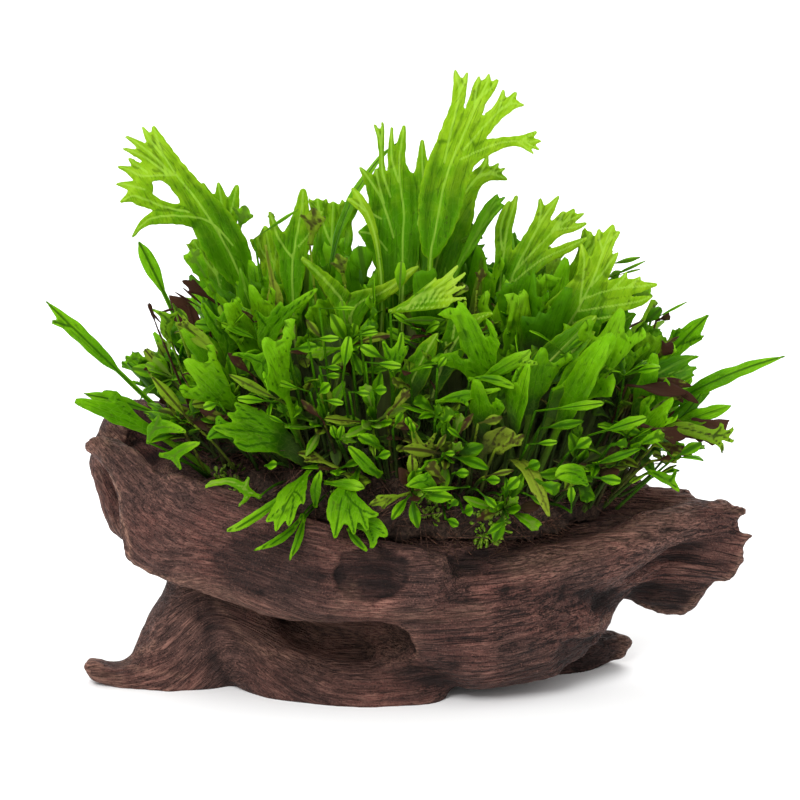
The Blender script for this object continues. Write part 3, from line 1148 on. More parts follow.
frond("tall_centre", "right", 0.02, (-1.7, -2, 163.5), (21.8, 2, 200.4), drawn=[
    [(4, 150, 3), (6, 160, 6), (8, 171, 7), (11, 180, 6.4), (14.5, 188, 3.4), (18.3, 197, 2.6),
     (20.5, 201.5, 2.2), (21.3, 203.5, 1.3), (21.8, 205.8, 0.4)],
    [(8, 178, 5), (9.8, 187, 3.6), (12, 196, 2.3), (12.7, 201, 2.1), (12.1, 204, 1.4), (11.3, 207.3, 0.4)],
    [(12.7, 200, 2.0), (14.2, 203.5, 1.1), (15, 206.4, 0.4)],
    [(17.4, 195, 2.0), (17.8, 201, 1.5), (18.8, 205.2, 0.4)],
    [(19.6, 199, 2.3), (22.8, 202, 1.5), (24.6, 204.4, 0.4)],
    [(14, 182, 4), (20, 189, 3.0), (24.5, 194, 2.5), (28.5, 197, 2.2), (31, 197.2, 1.3), (33, 197, 0.4)],
    [(25, 194.5, 2.0), (26, 198.5, 1.2), (26.5, 201.3, 0.4)],
    [(27.5, 196, 2.0), (29.4, 199, 1.2), (30.5, 200.8, 0.4)],
    [(13, 179, 4.5), (20, 182.6, 3.0), (27, 185.3, 2.0), (33, 186.3, 2.0), (36, 186.7, 1.5),
     (38.8, 187.3, 0.4)], [(33, 187, 1.5), (35.6, 188.5, 1.0), (37.5, 189.8, 0.4)],
    [(34, 186, 1.5), (36.5, 185.2, 0.9), (38.4, 184.7, 0.4)],
    [(32, 185.6, 1.5), (34.6, 184.3, 0.9), (36.4, 183, 0.4)]])
frond("tall_fan", "left", 0.96, (-4, 0, 133), (-4.6, 4, 180.8), drawn=[
    [(-5, 136, 3), (-5, 144, 8), (-5, 152, 11), (-4.6, 160, 10), (-5.6, 167, 6), (-6.2, 175, 2.4),
     (-5.4, 182, 1.5), (-4.6, 187.3, 0.6)],
    [(-8, 152, 7), (-11, 162, 5), (-14, 168, 3.0), (-16.4, 171.6, 1.6), (-18.7, 174.6, 0.4)],
    [(-10, 148, 6), (-14.5, 153, 4), (-18.6, 154, 0.8)],
    [(-12, 158, 4), (-16, 160.5, 2), (-18.2, 163.4, 0.5)],
    [(-11, 163, 3), (-13.0, 170, 1.6), (-13.5, 173.6, 0.6)],
    [(-9, 165, 2.6), (-11.5, 173, 1.2), (-11.9, 180, 0.9), (-12.6, 184.5, 0.8), (-14.2, 188.4, 0.4)],
    [(-12, 181, 0.9), (-11.6, 185, 0.8), (-11.5, 188.7, 0.4)],
    [(-6.5, 170, 3.0), (-8.6, 178, 1.4), (-8.5, 187, 0.5)],
    [(0, 156, 6), (1.5, 168, 4), (1.2, 177, 1.8), (1.2, 182.8, 0.7)]])
frond("tall_right_of_centre", "right", 0.08, (-8, -8, 135), (22, -4, 168), drawn=[
    [(4, 136, 3), (7, 147, 6.5), (11, 157, 6.5), (14, 164, 4.6), (18, 169.6, 2.8), (22, 172, 2.3),
     (26, 171.2, 1.4), (28.7, 170.2, 0.4)],
    [(17, 168, 2.8), (20.5, 173, 1.6), (22, 176, 1.0), (22.4, 178.8, 0.4)],
    [(20, 171, 2.4), (24, 173.2, 1.4), (26, 175.4, 0.4)],
    [(22, 171.5, 2.0), (25.6, 172.6, 1.0), (28, 173.8, 0.4)]])
frond("sickle", "rear", 0.3, (-36, 12, 150), (-7, 8, 175), 6, turn=62, stalk=0.45, peak=1.0)
frond("small_fork", "left", 0.8, (-5, -8, 145.4), (-20.8, -10, 163), drawn=[
    [(-12, 140, 0.9), (-13.4, 150, 1.0), (-15.4, 157, 1.5), (-18.4, 163, 1.6), (-20.8, 166.6, 0.7)],
    [(-16.4, 159.5, 1.4), (-19.6, 162, 1.3), (-22.5, 163.6, 0.6)]])
frond("dark_fork", "right", 0.14, (0, -10, 125.2), (25, -8, 160.6), tone="deep", drawn=[
    [(13, 143, 0.9), (17, 150, 1.8), (20, 156, 2.1), (22.5, 161, 1.7), (25, 164.9, 0.5)],
    [(20.5, 157, 1.7), (24, 161.5, 1.1), (27.4, 164.3, 0.4)],
    [(15.4, 147.5, 1.0), (21, 155.5, 0.9), (27, 161.8, 0.5)]])
frond("right_fork", "right", 0.3, (22, -2, 128.4), (45.1, 3, 158.3), drawn=[
    [(25.5, 112, 2), (26.5, 122, 4.5), (28, 132, 5.5), (30.5, 140, 5), (33.5, 146, 3.4), (37, 152.5, 2.6),
     (40, 158, 2.2), (42.5, 161.5, 1.6), (45.1, 165.2, 0.4)],
    [(38.4, 155, 2.2), (39.4, 160.5, 1.5), (39.2, 164.2, 0.6)],
    [(25.6, 126, 3), (26.5, 138, 3.2), (27.6, 148, 2.7), (28.6, 155, 1.9), (30, 160, 1.6),
     (31.5, 165, 0.7)], [(27, 148, 2.4), (26.4, 155, 1.9), (27.8, 160.4, 1.4), (29, 163.3, 0.6)],
    [(31, 141, 3.5), (38, 148.4, 2.7), (43.5, 154, 2.7), (47.5, 157.5, 2.5), (50, 161, 0.5)],
    [(43, 154, 2.4), (46, 158.5, 1.3), (46.6, 160.2, 0.5)],
    [(46, 156.6, 2.2), (50, 158.2, 1.3), (53.2, 159.8, 0.4)],
    [(44, 154.5, 2.2), (50, 155.3, 1.5), (53.8, 156.6, 0.5)],
    [(31, 138, 3.5), (39, 144.4, 2.4), (46, 147.9, 2.0), (50, 149.8, 1.6), (53.9, 151.8, 0.5)]])
frond("broad_right", "right", 0.22, (44, -20, 109.2), (61.7, -14, 152), drawn=[
    [(31, 99, 3), (37, 108, 8.5), (43, 116, 10.5), (48, 124, 9.5), (52, 131, 7.0), (55.5, 138, 4.4),
     (58, 145, 3.0), (59.8, 150.5, 2.4), (61.7, 155, 0.6)],
    [(58.4, 147, 2.4), (57.4, 151, 1.6), (57.3, 153.8, 0.5)],
    [(59.6, 149.5, 2.2), (62, 151.6, 1.4), (63.7, 153, 0.5)],
    [(51.4, 131, 4.6), (52.4, 139, 2.6), (52.6, 144, 2.0), (51.8, 148.9, 0.6)],
    [(55, 136, 3.4), (58.8, 140.6, 2.3), (61, 143.6, 1.6), (63.2, 146.3, 0.5)],
    [(53, 132, 4.4), (59, 134.2, 3.4), (65, 135.6, 2.8), (70, 136.2, 1.9), (75.3, 137, 0.5)],
    [(62, 135.5, 2.4), (64.8, 138.2, 1.2), (66, 140.4, 0.4)],
    [(66.5, 136, 2.2), (69, 137.8, 1.0), (70.2, 139, 0.4)],
    [(51, 128, 4.6), (58, 129.2, 3.0), (64, 130.2, 2.4), (70, 131.6, 1.7), (73.5, 133.2, 0.5)],
    [(49, 124, 4.6), (54, 125.6, 2.8), (57.5, 125.8, 1.8), (61, 126.5, 0.7)]])
frond("pale_right", "rear", 0.95, (46, 14, 118), (58, 12, 142), 9, stalk=0.5, lobes=[
    (0, 0.84, -16, 14, 5, 2), (0, 0.84, 22, 12, 5, 2)])
frond("saddle", "left", 0.62, (-22, -16, 128), (-4, -18, 137), drawn=[
    [(-21.5, 121, 2), (-21.5, 126, 4.0), (-19, 129.5, 3.8), (-14, 131.5, 2.8), (-8, 134.5, 2.0),
     (-3, 138.5, 1.2), (-0.2, 140.4, 0.4)],
    [(-22, 124, 3.6), (-24, 130, 3.4), (-27.5, 135.5, 2.4), (-31, 140.5, 1.4), (-35.3, 146.4, 0.4)]])
frond("fan_left", "left", 0.5, (-42, -2, 133), (-37, 0, 160.5), drawn=[
    [(-40.4, 132, 2), (-40.6, 142, 4.2), (-39.6, 150, 4.4), (-38.2, 157, 2.9), (-37.3, 162, 2.2),
     (-37, 166.5, 1.2)], [(-41, 146, 3.4), (-45, 152, 2.2), (-47.6, 160, 0.6)],
    [(-38.6, 149, 3.2), (-34, 154.5, 2.0), (-31, 160, 0.6)]])
frond("spotted_left", "left", 0.4, (-47, -8, 112), (-50, -10, 142), tone="spotted", drawn=[
    [(-48, 112, 2), (-48.3, 118, 4.2), (-48, 124, 4.4), (-46.4, 129, 3.2), (-46, 134, 2.2),
     (-47, 139, 0.9), (-48.8, 149, 0.4)], [(-50, 118, 3), (-51.5, 124, 2.6), (-53, 129, 1.0)]])
frond("pale_left", "rear", 0.2, (-62, 12, 130), (-64.8, 12, 161), drawn=[
    [(-55, 132, 2), (-58.6, 142, 3.4), (-61, 150, 3.6), (-63, 158, 3.2), (-64, 165, 2.0),
     (-64.8, 170, 0.5)], [(-62, 154, 3), (-66.5, 163, 1.9), (-69.7, 169.8, 0.6)],
    [(-62, 156, 3), (-60.3, 163, 2.5), (-58.8, 169, 0.9)]])
frond("curled_left", "rear", 0.3, (-46, 16, 118), (-50, 17, 146), 9, stalk=0.45, turn=-25, lobes=[
    (0, 0.8, -26, 11, 5, 2), (0, 0.78, 26, 11, 5, 2)])
frond("thin_left", "left", 0.12, (-74, -2, 112), (-90, 0, 144), 5, stalk=0.72, peak=1.2)
frond("far_left", "left", 0.0, (-88, -14, 96), (-119, -12, 127), 5, stalk=0.5, peak=1.0, lobes=[
    (0, 0.84, -34, 7, 3, 1)])
frond("flat_left", "left", 0.03, (-82, -16, 94), (-107, -18, 98), 5, stalk=0.4, turn=40)
frond("brown_left", "left", 0.14, (-66, -4, 116), (-80, -8, 128), 6, stalk=0.5, tone="brown", lobes=[
    (0, 0.7, -30, 12, 4, 1)])

# right side
frond("long_right", "right", 0.9, (84, -4, 98), (118, -8, 108), 5, stalk=0.35, peak=1.0, turn=15)
frond("fork_right", "right", 0.86, (74, 2, 100), (94, 0, 120), 6, stalk=0.4, lobes=[
    (0, 0.7, -28, 10, 4, 1), (0, 0.78, 34, 9, 4, 1)])
frond("low_right", "right", 0.96, (78, -6, 84), (101, -10, 92), 5, stalk=0.4)
frond("brown_right", "right", 0.98, (82, -8, 88), (98, -14, 80), 7, stalk=0.4, tone="brown", lobes=[
    (0, 0.8, -30, 9, 4, 2), (0, 0.8, 30, 9, 4, 1)])
frond("toothed_right", "right", 0.62, (62, -6, 100), (78, -8, 116), 12, stalk=0.35, tone="deep", lobes=[
    (0, 0.6, -50, 11, 5, 1), (0, 0.78, -24, 12, 5, 2), (0, 0.8, 30, 12, 5, 2)])
frond("upright_right", "right", 0.5, (54, 2, 112), (64, 4, 132), 8, stalk=0.4, tone="deep", lobes=[
    (0, 0.74, -30, 11, 4, 1), (0, 0.78, 24, 12, 4, 2)])

# front
frond("lance_front", "left", 0.98, (-9, -30, 96), (6, -30, 121), 8.5, stalk=0.3, peak=1.05)
frond("fork_front", "right", 0.16, (18, -30, 92), (32, -34, 108), 7, stalk=0.4, lobes=[
    (0, 0.74, -30, 11, 4, 1), (0, 0.76, 26, 10, 4, 1)])
frond("low_front_left", "left", 0.62, (-38, -34, 88), (-58, -40, 96), 7.9, drawn=[
    [(-36, 78, 1.3), (-40, 81.5, 2.8), (-46, 86, 4.4), (-51, 90, 4.0), (-55, 93, 2.6), (-58.6, 96, 0.7)],
    [(-48, 87, 4), (-55, 87.6, 3.0), (-61, 88, 2.2), (-65, 88.5, 0.8)],
    [(-46, 85, 3.4), (-52, 83.5, 2.4), (-56, 83, 1.8), (-59, 84.4, 0.7)],
    [(-53, 91.5, 3), (-57.5, 91.6, 1.9), (-61, 92.8, 0.6)]])
frond("over_lip_left", "left", 0.7, (-34, -44, 84), (-44, -58, 64), 7.9, face="arch", drawn=[
    [(-36, 76, 1.2), (-38, 73, 3.0), (-40, 70, 4.0), (-42, 67.5, 3.2), (-45, 65, 2.0), (-47.2, 63, 0.7)],
    [(-40, 70, 3.4), (-42, 66, 2.2), (-43.5, 62.5, 1.7), (-44.5, 59.5, 0.7)],
    [(-39, 70, 3.0), (-39.5, 66, 1.9), (-40, 62.5, 1.4), (-40.6, 60.3, 0.6)],
    [(-38.5, 71, 2.6), (-36.8, 68.5, 1.6), (-36, 66, 0.6)]])
frond("over_lip_middle", "left", 0.86, (-18, -44, 84), (-22, -60, 60), 7.9, face="arch", drawn=[
    [(-20, 76, 1.3), (-23, 71, 3.0), (-25, 66, 3.8), (-25.6, 61.5, 2.0), (-26, 57.3, 0.6)],
    [(-22.5, 70, 3.2), (-19, 66, 2.8), (-16, 64, 1.8), (-13, 62.8, 0.7)],
    [(-22, 66, 2.8), (-20.8, 61.5, 1.7), (-20.2, 58.2, 0.6)],
    [(-18.6, 65.5, 2.0), (-16.8, 61, 1.3), (-16, 58.4, 0.5)]])
frond("spotted_arch", "right", 0.36, (32, -42, 92), (41, -52, 66), 6, stalk=0.3, tone="spotted",
      peak=0.9, face="arch")
frond("spotted_crest", "right", 0.26, (18, -32, 84), (30, -38, 90), 8, stalk=0.4, tone="spotted", lobes=[
    (0, 0.7, -28, 9, 4, 1), (0, 0.7, 28, 9, 4, 1)])

# back
frond("back_left", "rear", 0.04, (-62, 30, 110), (-70, 36, 138), 12, stalk=0.35, face="back", lobes=[
    (0, 0.8, -28, 14, 6, 2), (0, 0.8, 26, 14, 6, 2)])
frond("back_mid_left", "rear", 0.36, (-30, 34, 118), (-28, 38, 150), 14, stalk=0.35, face="back", lobes=[
    (0, 0.8, -28, 16, 6, 2), (0, 0.8, 26, 16, 6, 2)])
frond("back_middle", "rear", 0.6, (2, 34, 118), (8, 38, 160), 15, stalk=0.35, face="back", lobes=[
    (0, 0.8, -28, 16, 6, 2), (0, 0.8, 26, 16, 6, 2)])
frond("back_right", "rear", 0.84, (32, 32, 108), (42, 38, 136), 13, stalk=0.35, face="back", lobes=[
    (0, 0.8, -28, 14, 6, 2), (0, 0.8, 26, 14, 6, 2)])
frond("back_low_left", "rear", 0.2, (-48, 44, 96), (-58, 58, 104), 9, stalk=0.35, face="back", lobes=[
    (0, 0.8, 26, 10, 5, 1)])
frond("back_low_right", "rear", 0.74, (20, 42, 92), (30, 58, 100), 9, stalk=0.35, face="back", lobes=[
    (0, 0.8, -26, 10, 5, 1)])


def rootPoint(line, at):
    path = rhizomePoints[line]
    share = np.clip(at, 0.0, 1.0) * (len(path) - 1)
    k = min(int(share), len(path) - 2)
    return path[k] + (path[k + 1] - path[k]) * (share - k)


def tilted(point, root, tilt):
    # the point turned about its root, by degrees to the front or the back
    swing = np.array(Matrix.Rotation(math.radians(tilt), 3, "X"))
    return root + swing @ (np.array(point, float) - root)


def frondCurve(spec, slide, tilt):
    root = rootPoint(spec["root"], spec["at"] + slide)
    bend, tip = tilted(spec["bend"], root, tilt), tilted(spec["tip"], root, tilt)
    way = (bend - root) / np.linalg.norm(bend - root)
    base = root + way * (leafSizes["rootRadius"] + leafSizes["rootGap"] + leafSizes["stalk"] / 2 + 0.2)
    return bendLine(base, bend, tip, 80)


frondFacing = {"front": (0.0, -1.0, 0.2), "back": (0.0, 1.0, 0.2), "arch": None}


def nodeAttitude(name, pointsAt):
    # the slide and tilt whose box fits the node's box best
    low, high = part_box(name)
    wanted = np.array([*low, *high]) / mm
    best = None
    for slide in leafSizes["slides"]:
        for tilt in leafSizes["tilts"]:
            points = pointsAt(slide, tilt)
            miss = np.abs(np.concatenate([points.min(0), points.max(0)]) - wanted).sum()
            if best is None or miss < best[0] - leafSizes["fitGain"]:
                best = (miss, slide, tilt)
        if best[0] < leafSizes["fitEnough"]:
            break
    return best[1], best[2]


def growFrond(name, spec, number):
    rng = np.random.default_rng(100 + number)
    rest = frondCurve(spec, 0.0, 0.0)
    length = curveLength(rest)
    ribbons, teeth = (drawnRibbons(spec, rest), []) if spec["drawn"] else bladeRibbons(spec, length, rng)
    cell = leafSizes["tallCell"] if length > 60 or spec["wide"] > 10 else leafSizes["smallCell"]
    flat = flatLeaf(ribbons, teeth, cell)
    facing = frondFacing[spec["face"]]
    plain = {key: flat[key][::9] for key in ("u", "v", "edge", "vein", "seam")}

    def pointsAt(slide, tilt):
        return layLeaf(plain, frondCurve(spec, slide, tilt), facing, spec["turn"], folds=0.0)

    slide, tilt = nodeAttitude(name, pointsAt)
    points = layLeaf(flat, frondCurve(spec, slide, tilt), facing, spec["turn"], phase=number)
    stack = LeafStack()
    stack.add(flat, points, rng.uniform(0.15, 0.60), 0.0 if spec["wide"] > 8 else 1.0, 1.0, number * 7.3,
              {"spotted": 0.45, "brown": 1.0}.get(spec["tone"], 0.0))
    slot = "frond_" + spec["tone"]
    piece = stack.finish(name.replace("frond_", "leaf_"), leafMaterials[slot])
    wear(piece, slot, name)
    leafPieces.append(piece)
    return len(piece.data.polygons)


frondFaces = 0
for frondNumber, (frondName, frondSpec) in enumerate(frondSpecs.items()):
    frondFaces += growFrond(frondName, frondSpec, frondNumber)
report("fronds")
print("frond faces", frondFaces)


# the small leaves that fill the clump

plantletSizes = dict(leaves=12, leafWide=4.0, solidLeaves=7, stem=0.8,
                     kinds=["strip", "lance", "strip", "miniTwo", "spoon", "lance", "miniThree"])
plantletSpecs = {
    # rhizome, place along it, crown, up, reach, turn
    "front_left": ("left", 0.5, (-30, -26, 88), (-0.1, -0.9, 0.7), 17, 0),
    "front_middle": ("left", 0.9, (-14, -30, 92), (0.0, -0.9, 0.6), 17, 20),
    "front_right": ("right", 0.05, (9, -34, 82), (0.1, -1.0, 0.5), 16, 10),
    "lip_middle": ("left", 0.99, (-2, -42, 72), (0.0, -1.0, 0.3), 15, 30),
    "lip_right": ("right", 0.4, (27, -38, 68), (0.1, -1.0, 0.4), 15, 0),
    "right_edge": ("right", 0.7, (50, -26, 76), (0.3, -0.9, 0.5), 17, 25),
    "right_end": ("right", 0.95, (70, -8, 88), (0.7, -0.6, 0.7), 17, 0),
    "left_edge": ("left", 0.25, (-58, -24, 94), (-0.4, -0.8, 0.8), 17, 15),
    "left_end": ("rear", 0.0, (-80, 4, 98), (-0.8, -0.5, 0.8), 16, 0),
    "back_left": ("rear", 0.3, (-44, 40, 96), (-0.1, 0.9, 0.7), 17, 20),
    "upper_middle": ("left", 0.8, (-22, -20, 114), (0.0, -0.9, 0.7), 16, 40),
    "back_middle": ("rear", 0.62, (-4, 44, 90), (0.0, 0.9, 0.6), 17, 35),
    "back_right": ("rear", 0.95, (36, 38, 88), (0.1, 0.9, 0.6), 17, 0),
}


def crownAxes(up):
    up = np.array(up, float)
    up /= np.linalg.norm(up)
    east = np.cross([0.0, 0.0, 1.0], up)
    east /= np.linalg.norm(east)
    return up, east, np.cross(up, east)


def rosetteLeaf(axes, turn, k, reach):
    # direction and length of one of the seven leaves that the rosette's solid has
    up, east, north = axes
    angle = math.radians(turn + 360 * k / plantletSizes["solidLeaves"] + 14 * math.sin(2.4 * k))
    lift = math.radians(12 + 36 * ((0.38 * k + 0.2) % 1))
    out = east * math.cos(angle) + north * math.sin(angle)
    side = north * math.cos(angle) - east * math.sin(angle)
    return out, side, out * math.cos(lift) + up * math.sin(lift), reach * (0.76 + 0.3 * ((0.62 * k) % 1))


def solidStar(crown, up, reach, turn):
    # the tips and sides of the plain rosette
    points = [crown]
    for k in range(plantletSizes["solidLeaves"]):
        _, side, way, long = rosetteLeaf(crownAxes(up), turn, k, reach)
        middle = crown + way * long * 0.55
        points += [middle - side * 2.5, crown + way * long, middle + side * 2.5]
    return np.array(points)


def growPlantlet(name, spec, number):
    line, at, crown, up, reach, turn = spec
    rng = np.random.default_rng(500 + number)

    def crownAt(slide, tilt):
        root = rootPoint(line, at + slide)
        return root, tilted(crown, root, tilt)

    slide, tilt = nodeAttitude("plantlet_" + name, lambda s, t: solidStar(crownAt(s, t)[1], up, reach, turn))
    root, middle = crownAt(slide, tilt)
    axes = crownAxes(up)
    stack = LeafStack()
    kinds = plantletSizes["kinds"]
    for k in range(plantletSizes["leaves"]):
        if k < plantletSizes["solidLeaves"]:
            out, _, way, long = rosetteLeaf(axes, turn, k, reach)
        else:
            angle, lift = rng.uniform(0, 2 * math.pi), rng.uniform(0.8, 1.3)
            out = axes[1] * math.cos(angle) + axes[2] * math.sin(angle)
            way = out * math.cos(lift) + axes[0] * math.sin(lift)
            long = reach * rng.uniform(0.45, 0.7)
        bend = middle + (way * 0.55 + axes[0] * rng.uniform(0.02, 0.2) + rng.normal(0, 0.05, 3)) * long
        curve = bendLine(middle, bend, middle + way * long, 12)
        tint, old = agedTint(rng)
        wide = plantletSizes["leafWide"] * rng.uniform(0.75, 1.2)
        layKind(stack, kinds[(k + number) % len(kinds)], curve, axes[0] - out * 0.3, rng, tint,
                rng.uniform(0.5, 1.0), old, wide, 22, 24, rng.uniform(1.0, 4.0))
    stack.addStem(bendLine(root, (root + middle) / 2 - [0, 0, 1.0], middle, 9),
                  plantletSizes["stem"] * np.linspace(1.1, 0.7, 9))
    piece = stack.finish("rosette_" + name, leafMaterials["frond_green"])
    wear(piece, "frond_green", "plantlet_" + name)
    leafPieces.append(piece)
    return len(piece.data.polygons)


# leaves that the photograph shows one by one: fingers of points (x, seen height, half width)

